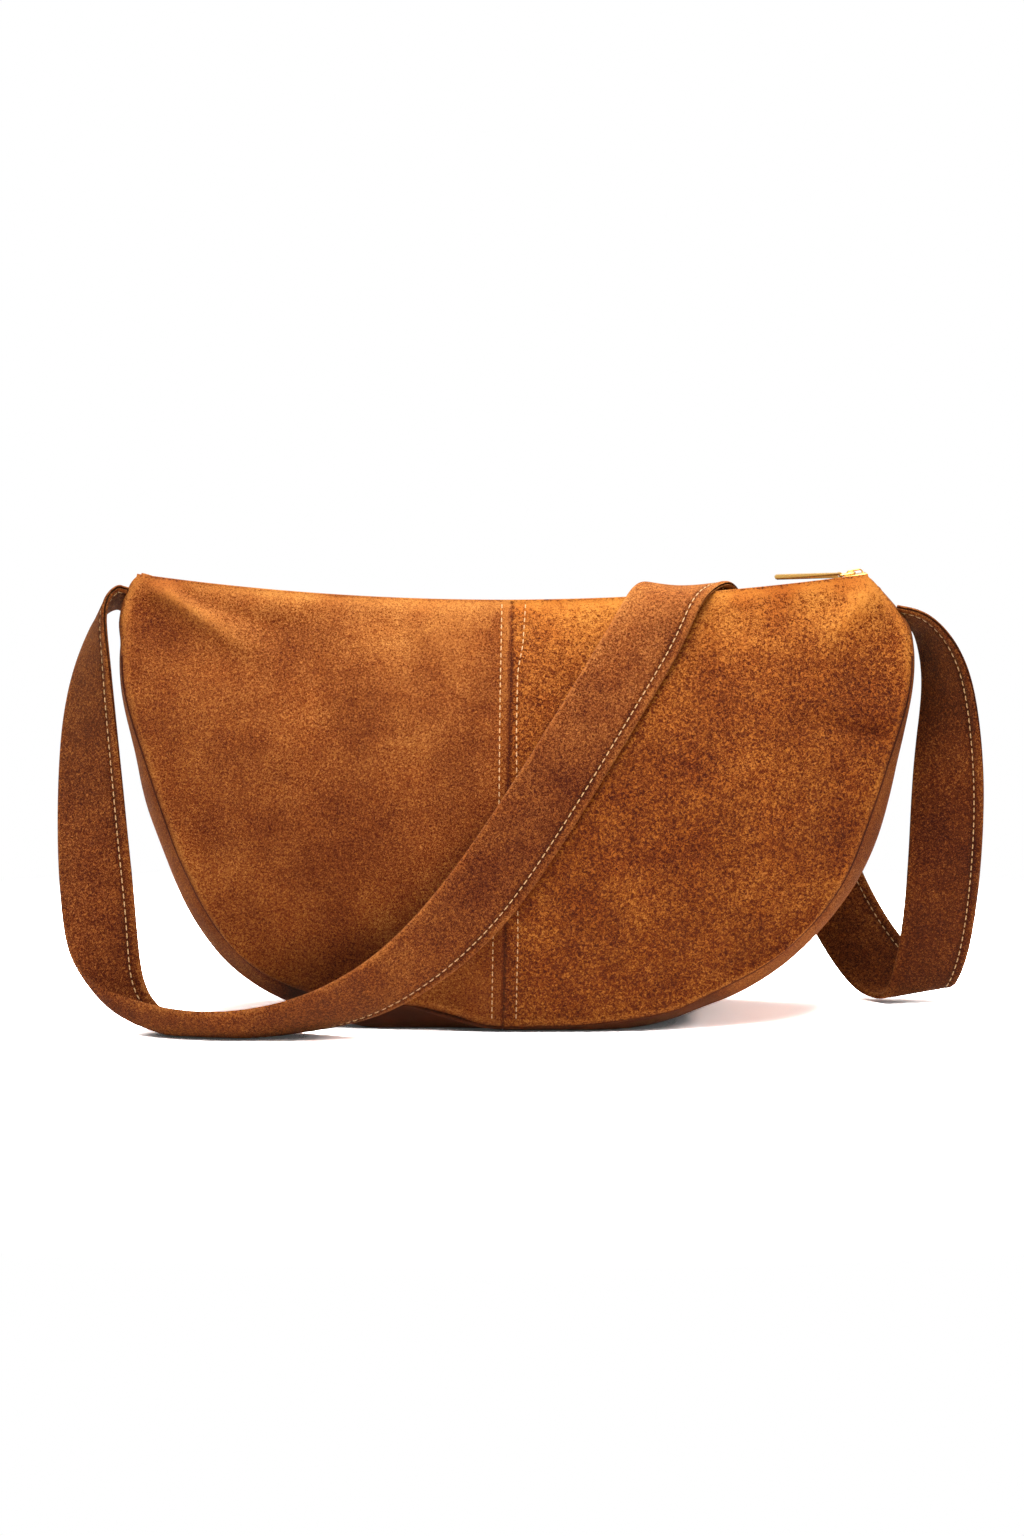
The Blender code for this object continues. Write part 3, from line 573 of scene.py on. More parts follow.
@dataclass(frozen=True)
class BagForm:
    """Sizes of the bag's form in metres, and the shapes that follow from them."""
    half_length: float = 0.193
    height: float = 0.218
    base_half_length: float = 0.070
    mouth_half_length: float = 0.176
    lip_mid_height: float = 0.2055
    base_half_depth: float = 0.049
    mouth_half_depth: float = 0.011
    bulge: float = 0.012
    seam_inset: float = 0.012
    lean_reach: float = 0.007
    seam_top_offset: float = 0.0046
    suede: float = 0.0014
    gap: float = 0.0003
    tape: float = 0.0006
    patch_corner: float = 0.42
    gusset_end: float = 0.975
    band_flat: float = 0.45
    base_flat: float = 0.90
    base_rise: float = 0.009
    base_tuck: float = 0.004
    tuck_height: float = 0.060
    flank_sag: float = 0.0045
    back_lip_sag: float = 0.0034
    # The outline as two curves: heights and reaches of their handles, in shares of the bag's sizes.
    widest_height: float = 0.817
    base_pull: tuple = (0.803, 0.413)
    shoulder_height: float = 0.885
    corner_pull: tuple = (0.974, 0.931)
    curve_steps: int = 90
    halvings: int = 40
    aim_step: float = 0.025
    # Where a blend starts and how far it runs, each along what it blends.
    sag_low: tuple = (0.17, 0.13)
    sag_high: tuple = (0.88, 0.16)
    lean_top: tuple = (0.84, 0.16)
    lean_low: float = 0.37
    flat_blend: tuple = (0.12, 0.16)
    rise_start: tuple = (0.004, 0.045)
    rise_end: tuple = (0.125, 0.05)
    rise_front: tuple = (0.70, 0.16)
    rise_fade: float = 0.06
    # Powers that shape the depth, the bulge and the gusset's rounded edge.
    depth_power: int = 3
    swell_power: float = 2.2
    edge_power: float = 1.8
    inset_shares: tuple = ((0.0, 0.15), (0.08, 0.22), (0.22, 0.60), (0.34, 0.95), (0.62, 0.85),
                           (0.86, 0.32), (1.0, 0.0))

    @functools.cached_property
    def outline(self) -> tuple[list[Vector], list[float]]:
        """The right half of the gusset's mid line.

        Returns:
            Its points, and its length up to each.
        """
        widest = Vector((self.half_length, 0.0, self.height * self.widest_height))
        corner = Vector((self.mouth_half_length, 0.0, self.height))
        lower = interpolate_bezier(
            Vector((self.base_half_length, 0.0, 0.0)),
            Vector((self.half_length * self.base_pull[0], 0.0, 0.0)),
            Vector((self.half_length, 0.0, self.height * self.base_pull[1])), widest, self.curve_steps)
        upper = interpolate_bezier(
            widest, Vector((self.half_length, 0.0, self.height * self.shoulder_height)),
            Vector((self.half_length * self.corner_pull[0], 0.0, self.height * self.corner_pull[1])),
            corner, self.curve_steps)
        points = [Vector()] + lower + upper[1:]
        reach = [0.0]
        for a, b in zip(points, points[1:]):
            reach.append(reach[-1] + (b - a).length)
        return points, reach

    @functools.lru_cache(maxsize=None)
    def on_outline(self, share: float) -> Vector:
        """The point at a share of the half outline.

        Args:
            share: from 0 in the middle of the base to 1 at the zip's end.

        Returns:
            The point, on the right half.
        """
        points, reach = self.outline
        wanted = min(1.0, max(0.0, share)) * reach[-1]
        index = int(min(len(points) - 2, max(0, np.searchsorted(reach, wanted) - 1)))
        way = points[index + 1] - points[index]
        point = points[index] + way * ((wanted - reach[index]) / way.length)
        (low, rise), (high, fall) = self.sag_low, self.sag_high
        sag = self.flank_sag * smooth_share((share - low) / rise) * smooth_share((high - share) / fall)
        return point - Vector((way.z, 0.0, -way.x)).normalized() * sag

    @functools.lru_cache(maxsize=None)
    def share_at(self, height: float) -> float:
        """The share of the half outline whose point is at a height above the base's curve.

        Args:
            height: the height in metres, above the base's curve.

        Returns:
            The share of the half outline.
        """
        low, high = self.patch_corner, 1.0
        for _ in range(self.halvings):
            share = (low + high) / 2
            low, high = (share, high) if self.on_outline(share).z < height else (low, share)
        return low

    @functools.lru_cache(maxsize=None)
    def outward(self, share: float) -> Vector:
        """The outward direction of the half outline at a share.

        Args:
            share: the share of the half outline.

        Returns:
            The outward direction, of length 1.
        """
        before = self.on_outline(max(0.0, share - self.aim_step))
        way = (self.on_outline(min(1.0, share + self.aim_step)) - before).normalized()
        return Vector((way.z, 0.0, -way.x))

    @functools.lru_cache(maxsize=None)
    def inset(self, share: float) -> float:
        """How far the seam lies inside the outline at a share.

        Args:
            share: the share of the half outline.

        Returns:
            The inset in metres.
        """
        for (start, low), (end, high) in zip(self.inset_shares, self.inset_shares[1:]):
            if share <= end:
                between = smooth_share((share - start) / (end - start))
                return self.seam_inset * (low + (high - low) * between)
        return 0.0

    def lip(self, x: float) -> float:
        """Height of the mouth's edge at an upright X."""
        reach = min(abs(x), self.mouth_half_length) / self.mouth_half_length
        return self.lip_mid_height + (self.height - self.lip_mid_height) * reach * reach

    def depth(self, x: float, z: float) -> float:
        """Half depth between the seams.

        Args:
            x: the place along the bag, upright.
            z: the height.

        Returns:
            The half depth in metres.
        """
        rise = min(1.0, max(0.0, z / self.lip(x)))
        tuck = self.base_tuck * max(0.0, 1.0 - z / self.tuck_height) ** 2
        wider = (self.base_half_depth - self.mouth_half_depth) * (1.0 - rise ** self.depth_power)
        return self.mouth_half_depth + wider - tuck

    def lean(self, z: float) -> float:
        """Sideways shift of the soft bag at a height."""
        share, (start, run), low = z / self.height, self.lean_top, self.lean_low
        return -self.lean_reach * (
            smooth_share((share - start) / run) + smooth_share((low - share) / low))

    @functools.lru_cache(maxsize=None)
    def lip_point(self, side: int, u: float) -> Vector:
        """A point of the mouth's edge.

        Args:
            side: -1 left, 1 right.
            u: share from centre seam to side.

        Returns:
            The point, at depth 0.
        """
        start = self.seam_top_offset + side * self.gap / 2
        x = start + (side * self.mouth_half_length - start) * u
        return Vector((x, 0.0, self.lip(x)))

    def seam_point(self, share: float) -> Vector:
        """The point of the panels' seam at a share of the half outline, at depth 0."""
        return self.on_outline(share) - self.outward(share) * self.inset(share)

    @functools.lru_cache(maxsize=None)
    def bottom_point(self, side: int, u: float) -> Vector:
        """A point of the panel's bottom seam, u from the centre seam to the side."""
        point = self.seam_point(u * self.patch_corner)
        return Vector((side * point.x + side * self.gap / 2 * (1.0 - u), 0.0, point.z))

    @functools.lru_cache(maxsize=None)
    def flank_point(self, side: int, v: float) -> Vector:
        """A point of the panel's side seam, v from the lip to the bottom."""
        point = self.seam_point(1.0 - v * (1.0 - self.patch_corner))
        return Vector((side * point.x, 0.0, point.z))

    def panel(self, side: int, u: float, v: float) -> Vector:
        """A point of a front half panel.

        Args:
            side: -1 left, 1 right.
            u: share from centre seam to side.
            v: share from lip to bottom.

        Returns:
            The point, on the front.
        """
        lips = (self.lip_point(side, 0.0), self.lip_point(side, 1.0))
        feet = (self.bottom_point(side, 0.0), self.bottom_point(side, 1.0))
        centre = lips[0].lerp(feet[0], v)
        centre.x -= self.lean(centre.z) + self.lean_reach
        across = centre.lerp(self.flank_point(side, v), u)
        down = self.lip_point(side, u).lerp(self.bottom_point(side, u), v)
        corners = lips[0].lerp(lips[1], u).lerp(feet[0].lerp(feet[1], u), v)
        point = across + down - corners
        swell = self.bulge * math.sin(math.pi * v) * (1.0 - u ** self.swell_power)
        return Vector((point.x + self.lean(point.z), -(self.depth(point.x, point.z) + swell), point.z))

    def band(self, side: int, share: float, across: float, margin: float,
             deeper: float = 0.0) -> Vector:
        """A point of the gusset.

        Args:
            side: -1 left, 1 right.
            share: the share of the half outline.
            across: -1 at the front seam, 1 at the back.
            margin: how far the band stays inside the panels' depth.
            deeper: how far it is moved inward.

        Returns:
            The point.
        """
        start, run = self.flat_blend
        flat = self.base_flat + (self.band_flat - self.base_flat) * smooth_share((share - start) / run)
        edge = max(0.0, (abs(across) - flat) / (1.0 - flat))
        inward = self.inset(share) * edge ** self.edge_power + deeper
        point = self.on_outline(share) - self.outward(share) * inward
        x = max(point.x, self.gap / 2)
        y = across * (self.depth(x, point.z) - margin)
        x = side * x + self.lean(point.z)
        return Vector((x, y, point.z + self.drawn_up(x, y, point.z)))

    def drawn_up(self, x: float, y: float, z: float) -> float:
        """How far the soft base is drawn up off the floor, at the front left.

        Args:
            x: the point's X.
            y: its Y.
            z: its height before.

        Returns:
            The rise in metres.
        """
        (start, run), (end, fall), (depth, reach) = self.rise_start, self.rise_end, self.rise_front
        along = smooth_share((-x - start) / run) * smooth_share((end + x) / fall)
        front = smooth_share((-y / self.base_half_depth - depth) / reach)
        return self.base_rise * along * front * (1.0 - smooth_share(z / self.rise_fade))

    @property
    def middle(self) -> Vector:
        """The middle of the bag's inside."""
        return Vector((0.0, 0.0, self.height / 2))


FORM = BagForm()


# Soft shell: panels, gusset, lining and the turned seams between them

@dataclass(frozen=True)
class Fold:
    """A soft ridge or hollow along a line on a panel, in millimetres of the front view."""
    start: tuple[float, float]
    end: tuple[float, float]
    rise: float
    width: float
    fade: float = 0.75

    def at(self, x: float, z: float) -> float:
        """The fold's height at a point.

        Args:
            x: the point's X in millimetres.
            z: its height in millimetres.

        Returns:
            The height off the panel in millimetres.
        """
        ax, az = self.start
        bx, bz = self.end
        length = (bx - ax) ** 2 + (bz - az) ** 2
        share = min(1.0, max(0.0, ((x - ax) * (bx - ax) + (z - az) * (bz - az)) / length))
        away = math.hypot(x - ax - share * (bx - ax), z - az - share * (bz - az))
        taper = 1.0 - self.fade * share
        return self.rise * taper * math.exp(-((away / self.width) ** 2))


@dataclass(frozen=True)
class SeamLines:
    """Topstitching beside the centre seam: height and X in millimetres, from the photograph."""
    left: tuple = ((0.0, -12.2), (48.7, -11.4), (115.0, -8.5), (161.0, -8.1), (206.0, -7.2))
    right: tuple = ((0.0, -0.6), (48.7, 0.4), (146.8, -0.3), (173.0, 0.3), (185.0, 2.8), (206.0, 4.3))
    pitch: float = 3.8
    length: float = 2.9
    radius: float = 0.28

    def x_at(self, side: int, z: float) -> float:
        """X of a stitch line at a height, both in metres."""
        line = self.left if side < 0 else self.right
        return float(np.interp(z / MM, [p[0] for p in line], [p[1] for p in line])) * MM


@dataclass(frozen=True)
class PanelWearAndPaintedLight:
    """How much the nap is rubbed pale or pressed dark, and where highlight and shade are painted on
    it, in metres or shares.

    A pair is where a mark starts and how far it takes to reach its full strength.
    """
    # Painted highlights: along the lip's crest, over the panel's upper band (the crown, weaker on the
    # left) and on fold ridges.
    lip_highlight: float = 0.9
    crown_reach: float = 0.20
    crown_power: float = 1.5
    crown_left: float = 0.5
    ridge_highlight: float = 0.30
    # Painted highlight on the crest of the rolled seam along the sides and base.
    seam_roll_highlight: float = 3.0
    # The left panel is lighter on the strip beside the centre seam high up and lighter near the base;
    # the right panel is darker near the base.
    strip_lighten: float = 0.7
    strip_reach: tuple = (0.09, 0.09)
    low_reach: tuple = (0.075, 0.05)
    low_lighten: float = 0.25
    low_darken: float = 0.15
    # Nap pressed darker on the strip between stitching and centre seam.
    strip_press: float = 0.1
    # Painted shade in grooves: along the side seams, in the folds' deeper hollows and along the centre
    # seam.
    flank_seam_shade: float = 0.5
    flank_reach: tuple = (0.2, 0.15)
    hollow_shade: float = 0.12
    hollow_depth: float = 0.8
    centre_seam_shade: float = 0.9
    centre_seam_shade_width: float = 0.0005
    # Gusset: painted highlight on its rolled edges, painted shade in the grooves beside them and over
    # its lowest part towards the front and back seams.
    gusset_rub: float = 1.2
    gusset_seam_shade: float = 0.7
    base_shade: float = 2.2
    base_shade_height: tuple = (0.016, 0.012)
    base_shade_across: tuple = (0.2, 0.5)


@dataclass(frozen=True)
class SoftShell:
    """The sewn body of the bag. Sizes are in metres unless they say otherwise."""
    grid: tuple = (104, 120)
    band_grid: tuple = (170, 44)
    wall: float = 0.0012
    overlap: float = 0.0003
    hem_share: float = 0.09
    hem_drop: float = 0.007
    hem_radius: float = 0.00125
    seam_roll: float = 0.0022
    seam_roll_width: float = 0.0048
    end_height: float = 0.2105
    end_hem_share: float = 0.05
    end_radius: float = 0.0010
    end_reach: float = 0.0075
    end_narrowing: float = 0.17
    groove: float = 0.0009
    groove_width: float = 0.0012
    # Waves of the suede: width and height of one in mm, row of the noise, rise in mm. Then limits.
    waves: tuple = ((48.0, 42.0, 7.0, 0.9), (17.0, 19.0, 3.0, 0.35))
    wave_top: float = 0.5
    wave_base: float = 0.35
    # Hollows, in mm: the deepest one, how much deeper for each mm down, and from where.
    hollow_limit: tuple = (0.6, 0.35, 9.0)
    calm_at_seams: float = 0.012
    calm_at_centre: float = 0.02
    calm_at_lip: float = 0.35
    back_lip_end: float = 0.35
    back_lip_run: float = 0.08
    back_lip_reach: float = 0.22
    lip_clear: float = 0.02
    lip_blend: float = 0.05
    lip_round: float = 0.035
    overlap_fade: float = 40.0
    overlap_width: float = 0.004
    stitch_sink: float = 0.0004
    stitch_sink_width: float = 0.0009
    strip_sink: float = 0.00025
    strip_edge: float = 0.001
    gusset_wave: tuple = (9.0, 2.2, 4.0, 0.6)
    gusset_fold: tuple = (0.7, 0.25, 1.2)
    gusset_foot: tuple = (0.004, 0.02)
    gusset_head: tuple = (0.195, 0.012)
    gusset_roll: float = 0.0015
    rolled_steps: int = 110
    rolled_end: float = 0.88
    rolled_inset: float = 0.0006
    rolled_setback: float = 0.0026
    rolled_floor: float = 0.0012
    rolled_radius: float = 0.0010
    allowance_span: tuple = (0.07, 0.05, 0.94)
    allowance_gap: float = 0.0001
    allowance_wall: float = 0.0006
    allowance_grid: tuple = (12, 60)
    lining_span: tuple = (0.9716, 0.077, 0.899)
    lining_setback: float = 0.0021
    lining_wall: float = 0.0005
    lining_grid: tuple = (60, 36)
    strip_margin: float = 0.005
    strip_setback: float = 0.0042
    strip_grid: tuple = (160, 12)
    lining_cut: tuple = (0.376, 0.204)
    lining_area: float = 0.0602
    strip_cut: tuple = (0.089, 0.655)
    strip_area: float = 0.0519
    seams: SeamLines = SeamLines()
    wear_and_painted_light: PanelWearAndPaintedLight = PanelWearAndPaintedLight()
    front_folds: tuple = (
        Fold((-171, 212), (-120, 180), 4.6, 6.5),
        Fold((-168, 210), (-132, 186), 1.8, 2.6),
        Fold((-38, 186), (-54, 120), 1.7, 26),
        Fold((-181, 202), (-148, 178), -2.2, 10),
        Fold((-158, 211), (-110, 196), -3.4, 6),
        Fold((-120, 196), (-86, 176), -1.6, 12),
        Fold((170, 210), (146, 184), 3.6, 6.5),
        Fold((184, 198), (166, 172), -1.8, 9),
        Fold((150, 208), (112, 196), -0.8, 8),
        Fold((188, 140), (136, 152), -2.6, 4),
        Fold((184, 151), (150, 161), 1.6, 7),
        Fold((180, 124), (140, 136), 1.4, 8),
        Fold((-30, 16), (-90, 40), -1.6, 14),
        Fold((110, 30), (150, 62), -2, 12),
        Fold((-150, 96), (-168, 150), -1.8, 12),
        Fold((-60, 120), (-130, 96), -1.4, 20),
    )
    back_folds: tuple = (
        Fold((-176, 212), (-140, 188), -3, 8),
        Fold((-166, 214), (-132, 196), 2.4, 5),
        Fold((170, 214), (138, 190), 2.6, 5.5),
        Fold((180, 206), (150, 180), -3, 8),
        Fold((-120, 60), (-70, 34), -1.6, 12),
        Fold((60, 120), (120, 100), -1.4, 16),
        Fold((150, 130), (182, 150), -1.8, 7),
    )

    def relief(self, face: int, point: Vector) -> float:
        """Height of the folds and of the suede's slight waviness at a point.

        Args:
            face: 1 front, -1 back.
            point: the plain panel's point.

        Returns:
            The height in millimetres.
        """
        x, z = point.x / MM, point.z / MM
        folds = self.front_folds if face > 0 else self.back_folds
        wave = 0.0
        for across, down, row, rise in self.waves:
            wave += noise.noise(Vector((x / across, face * row, z / down))) * rise
        return sum(fold.at(x, z) for fold in folds) + min(self.wave_top, wave) - self.wave_base

    def lip_drop(self, face: int, x: float, v: float) -> float:
        """How far the back lip sags under the front one, so that it hides behind it.

        Args:
            face: 1 front, -1 back.
            x: the point's X.
            v: share from lip to bottom.

        Returns:
            The drop in metres.
        """
        if face > 0:
            return 0.0
        reach = abs(x + FORM.lean_reach) / FORM.mouth_half_length
        end = self.back_lip_end
        sag = FORM.back_lip_sag * (end + (1.0 - end) * smooth_share((1.0 - reach) / self.back_lip_run))
        return sag * smooth_share((self.back_lip_reach - v) / self.back_lip_reach)

    def panel_point(self, side: int, face: int, u: float, raw: float) -> SoftPoint:
        """A point of a dressed half panel, its hem turned in over the mouth.

        Args:
            side: -1 left, 1 right.
            face: 1 front, -1 back.
            u: share from centre seam to side.
            raw: share from the hem's inner end, over the lip, to the bottom seam.

        Returns:
            The point, its rub and painted highlight, and its press and painted shade.
        """
        radius = self.hem_radius
        if raw < self.hem_share:
            path = (1.0 - raw / self.hem_share) * (math.pi * radius + self.hem_drop)
            lip = FORM.panel(side, u, 0.0)
            angle = min(math.pi, path / radius)
            drop = max(0.0, path - math.pi * radius)
            z = lip.z - radius + radius * math.sin(angle) - drop
            depth = FORM.depth(lip.x + FORM.lean_reach, z) if drop > 0.0 else -lip.y
            y = -depth + radius * (1.0 - math.cos(angle))
            z -= self.lip_drop(face, lip.x, 0.0)
            closed = side * self.overlap * max(0.0, 1.0 - self.overlap_fade * u)
            # The hem's crest gets a painted highlight.
            return Vector((lip.x - closed, face * y, z)), self.wear_and_painted_light.lip_highlight * math.sin(angle), 0.0
        v = (raw - self.hem_share) / (1.0 - self.hem_share)
        point = FORM.panel(side, u, v)
        flank = FORM.flank_point(side, v)
        foot = FORM.bottom_point(side, u)
        centre_x = FORM.panel(side, 0.0, v).x
        to_flank = abs(flank.x + FORM.lean(flank.z) - point.x)
        to_foot = max(0.0, point.z - foot.z)
        to_centre = abs(point.x - centre_x)
        edge = min(to_flank if v > self.lip_clear else 1.0, to_foot)
        near = max(0.0, 1.0 - edge / self.seam_roll_width)
        off_lip = smooth_share(v / self.lip_blend)
        roll = self.seam_roll * near ** 2 * off_lip
        groove = self.groove * max(0.0, 1.0 - to_centre / self.groove_width) ** 2
        calm = smooth_share(min(to_flank, to_foot) / self.calm_at_seams)
        calm *= smooth_share(to_centre / self.calm_at_centre)
        calm *= self.calm_at_lip + (1.0 - self.calm_at_lip) * off_lip
        below = (FORM.lip(point.x + FORM.lean_reach) - point.z) / MM
        deepest, slope, start = self.hollow_limit
        height = max(self.relief(face, point), -deepest - slope * max(0.0, below - start))
        seam_x = self.seams.x_at(side, point.z)
        sunk = self.stitch_sink * math.exp(-((abs(point.x - seam_x) / self.stitch_sink_width) ** 2))
        between = smooth_share((abs(seam_x - centre_x) - to_centre) / self.strip_edge + 0.5)
        sunk += self.strip_sink * between
        y = point.y + roll + groove + sunk - height * MM * calm
        top = max(0.0, 1.0 - v / self.lip_round)
        z = point.z - radius * top ** 2
        z += FORM.drawn_up(point.x, face * y, z) - self.lip_drop(face, point.x, v)

        wear_and_painted_light = self.wear_and_painted_light
        # Painted highlight over the upper band of each panel, weaker on the left.
        crown = max(0.0, 1.0 - v / wear_and_painted_light.crown_reach) ** wear_and_painted_light.crown_power
        crown *= wear_and_painted_light.crown_left if side < 0 else 1.0
        (start, run), (strip, strip_run), (flank, flank_run) = (
            wear_and_painted_light.low_reach, wear_and_painted_light.strip_reach, wear_and_painted_light.flank_reach)
        low = smooth_share((start - z) / run)
        centre_seam_shade_mask = math.exp(-((to_centre / wear_and_painted_light.centre_seam_shade_width) ** 2))
        # Painted highlight along the lip, over the crown, on fold ridges and on the rolled seam's
        # crest.
        rub = wear_and_painted_light.lip_highlight * top + crown + wear_and_painted_light.ridge_highlight * max(0.0, height) * calm
        rub += wear_and_painted_light.seam_roll_highlight * near * (1.0 - near)
        # Pressed nap on the strip by the centre seam, and painted shade in the side seams' groove.
        pressed = wear_and_painted_light.strip_press * between
        pressed += wear_and_painted_light.flank_seam_shade * near ** 2 * smooth_share((v - flank) / flank_run)
        # The left panel lighter on the strip high up and near the base, the right panel darker near
        # the base.
        if side < 0:
            upper = smooth_share((z - strip) / strip_run)
            rub += wear_and_painted_light.strip_lighten * between * upper + wear_and_painted_light.low_lighten * low
        else:
            pressed += wear_and_painted_light.low_darken * low
        # Painted shade in the folds' deeper hollows and in the centre seam's groove.
        hollow = wear_and_painted_light.hollow_shade * max(0.0, -height - wear_and_painted_light.hollow_depth) * calm
        pressed += hollow + wear_and_painted_light.centre_seam_shade * centre_seam_shade_mask
        closed = side * self.overlap * max(0.0, 1.0 - to_centre / self.overlap_width)
        return Vector((point.x - closed, face * y, z)), rub, pressed

    def panel(self, side: Side, face: Face) -> Piece:
        """One suede half panel with its hem and wall."""
        return walled_sheet(
            f"{face.name.lower()}_{side.name.lower()}_suede", self.grid,
            lambda u, raw: self.panel_point(side.value, face.value, u, raw), self.wall)

    def gusset_point(self, side: int, raw: float, across: float) -> SoftPoint:
        """A point of the dressed gusset, its upper end turned in under the zip.

        Args:
            side: -1 left, 1 right.
            raw: share from the middle of the base to the turned-in end.
            across: -1 at the front seam, 1 at the back.

        Returns:
            The point, its rub and painted highlight, and its press and painted shade.
        """
        share = min(1.0, raw / (1.0 - self.end_hem_share)) * FORM.share_at(self.end_height)
        width = FORM.depth(FORM.on_outline(share).x, FORM.on_outline(share).z)
        edge = (1.0 - abs(across)) * width
        near = max(0.0, 1.0 - edge / self.seam_roll_width)
        place = FORM.on_outline(share)
        (foot, rise), (head, fall) = self.gusset_foot, self.gusset_head
        lift = smooth_share((place.z - foot) / rise) * smooth_share((head - place.z) / fall)
        along, over, row, mean = self.gusset_wave
        wave = noise.noise(Vector((share * along * side, across * over, row))) + mean
        start, run, depth = self.gusset_fold
        fold = max(0.0, math.cos(across * math.pi / 2)) * smooth_share((share - start) / run) * depth
        deeper = self.gusset_roll * near ** 2 + max(0.0, wave + fold) * MM * lift * (1.0 - near)
        point = FORM.band(side, share, across, FORM.suede + FORM.gap, deeper)
        path = max(0.0, raw - 1.0 + self.end_hem_share) / self.end_hem_share
        path *= math.pi / 2 * self.end_radius + self.end_reach
        angle = min(math.pi / 2, path / self.end_radius)
        turned = self.end_radius * (1.0 - math.cos(angle))
        turned += max(0.0, path - math.pi / 2 * self.end_radius)
        point.x -= side * turned
        point.y *= 1.0 - self.end_narrowing * smooth_share(turned / self.end_radius)
        point.z = max(point.z, 0.0) + self.end_radius * math.sin(angle)
        wear_and_painted_light = self.wear_and_painted_light
        # Painted shade over the gusset's lowest part towards its seams; painted highlight on its
        # rolled edges, painted shade beside them.
        (height, reach), (start, run) = wear_and_painted_light.base_shade_height, wear_and_painted_light.base_shade_across
        base_shaded = wear_and_painted_light.base_shade * smooth_share((height - place.z) / reach)
        base_shaded *= smooth_share((abs(across) - start) / run)
        return point, wear_and_painted_light.gusset_rub * near * (1.0 - near), wear_and_painted_light.gusset_seam_shade * near ** 2 + base_shaded

    def gusset(self, side: Side) -> Piece:
        """One gusset strip with its wall."""
        return walled_sheet(
            f"gusset_{side.name.lower()}_suede", self.band_grid,
            lambda u, v: self.gusset_point(side.value, u, 2.0 * v - 1.0), self.wall)

    def seam(self, face: Face) -> Piece:
        """The turned seam allowance that fills the groove between panel and gusset.

        Args:
            face: front or back.

        Returns:
            The rolled seam.
        """
        half = []
        for step in range(self.rolled_steps + 1):
            share = step / self.rolled_steps * self.rolled_end
            inset = FORM.inset(share) + self.rolled_inset
            place = FORM.on_outline(share) - FORM.outward(share) * inset
            y = -face.value * (FORM.depth(place.x, place.z) - self.rolled_setback)
            half.append((place.x, y, max(place.z, self.rolled_floor)))
        left = [
            Vector((-x + FORM.lean(z), y, z + FORM.drawn_up(-x, y, z))) for x, y, z in reversed(half)]
        right = [Vector((x + FORM.lean(z), y, z)) for x, y, z in half[1:]]
        return tube_along(f"turned_seam_{face.name.lower()}", left + right, self.rolled_radius)

    def inside(self, face: Face, a: float, v: float, span: tuple, setback: float) -> Vector:
        """A point just inside both panels of a face.

        Args:
            face: front or back.
            a: share from the left end of the span to the right.
            v: share down the span.
            span: its reach in u, then its start and its length in v.
            setback: how far it lies inside the panels.

        Returns:
            The point.
        """
        width, start, run = span
        reach = (2.0 * a - 1.0) * width
        side = 1 if reach >= 0.0 else -1
        raw = self.hem_share + (start + run * v) * (1.0 - self.hem_share)
        point, _, _ = self.panel_point(side, face.value, abs(reach), raw)
        point.y -= math.copysign(setback, point.y)
        return point

    def allowance(self, face: Face) -> Piece:
        """The centre seam's two edges, pressed open and held by the topstitching."""
        setback = self.wall + self.allowance_gap
        return walled_sheet(
            f"centre_seam_allowance_{face.name.lower()}", self.allowance_grid,
            lambda a, v: (self.inside(face, a, v, self.allowance_span, setback), 0.0, 1.0),
            self.allowance_wall)

    def lining(self, face: Face) -> Piece:
        """One lining panel, hung inside the suede."""
        return walled_sheet(
            f"lining_{face.name.lower()}_cloth", self.lining_grid,
            lambda a, v: (self.inside(face, a, v, self.lining_span, self.lining_setback), 0.0, 0.0),
            self.lining_wall)

    def lining_strip(self) -> Piece:
        """The lining's strip along the gusset.

        Returns:
            The strip.
        """
        def place(a: float, b: float) -> SoftPoint:
            """A strip point inside the gusset, from left to right and from front to back."""
            side, share = (1 if a >= 0.5 else -1), abs(2.0 * a - 1.0) * FORM.gusset_end
            return FORM.band(
                side, share, 2.0 * b - 1.0, self.strip_margin, self.strip_setback), 0.0, 0.0

        return walled_sheet("lining_gusset_cloth", self.strip_grid, place, self.lining_wall)

    def build(self, wardrobe: Wardrobe) -> dict[Face, list[Piece]]:
        """Build and dress the whole shell.

        Args:
            wardrobe: the finishes.

        Returns:
            The two panel halves of each face.
        """
        fine = wardrobe.fine_suede.material()
        coarse = wardrobe.coarse_suede.material()
        gusset_suede = wardrobe.gusset_suede.material()
        seam_suede = wardrobe.seam_suede.material()
        cloth = wardrobe.lining_cloth.material()
        panels: dict[Face, list[Piece]] = {face: [] for face in Face}
        for face in Face:
            for side in Side:
                node = f"{face.name.lower()}_panel_{side.name.lower()}"
                finish, slot = (fine, "suede_smooth") if side is Side.LEFT else (coarse, "suede_split")
                half = settle(self.panel(side, face), Body.BAG, finish, [node], slot)
                panels[face].append(half)
            # The turned seams' dark suede partly paints the shade in the groove between panel and
            # gusset.
            settle(self.seam(face), Body.BAG, seam_suede, (), "suede_gusset")
            settle(self.allowance(face), Body.BAG, seam_suede, (), "suede_smooth")
            node = f"lining_{face.name.lower()}"
            lining = settle(self.lining(face), Body.BAG, cloth, [node], "lining_cloth")
        strips = [
            settle(self.gusset(side), Body.BAG, gusset_suede, [f"gusset_{side.name.lower()}"],
                   "suede_gusset")
            for side in Side
        ]
        lining = settle(self.lining_strip(), Body.BAG, cloth, ["lining_gusset"], "lining_cloth")
        return panels


# Threads

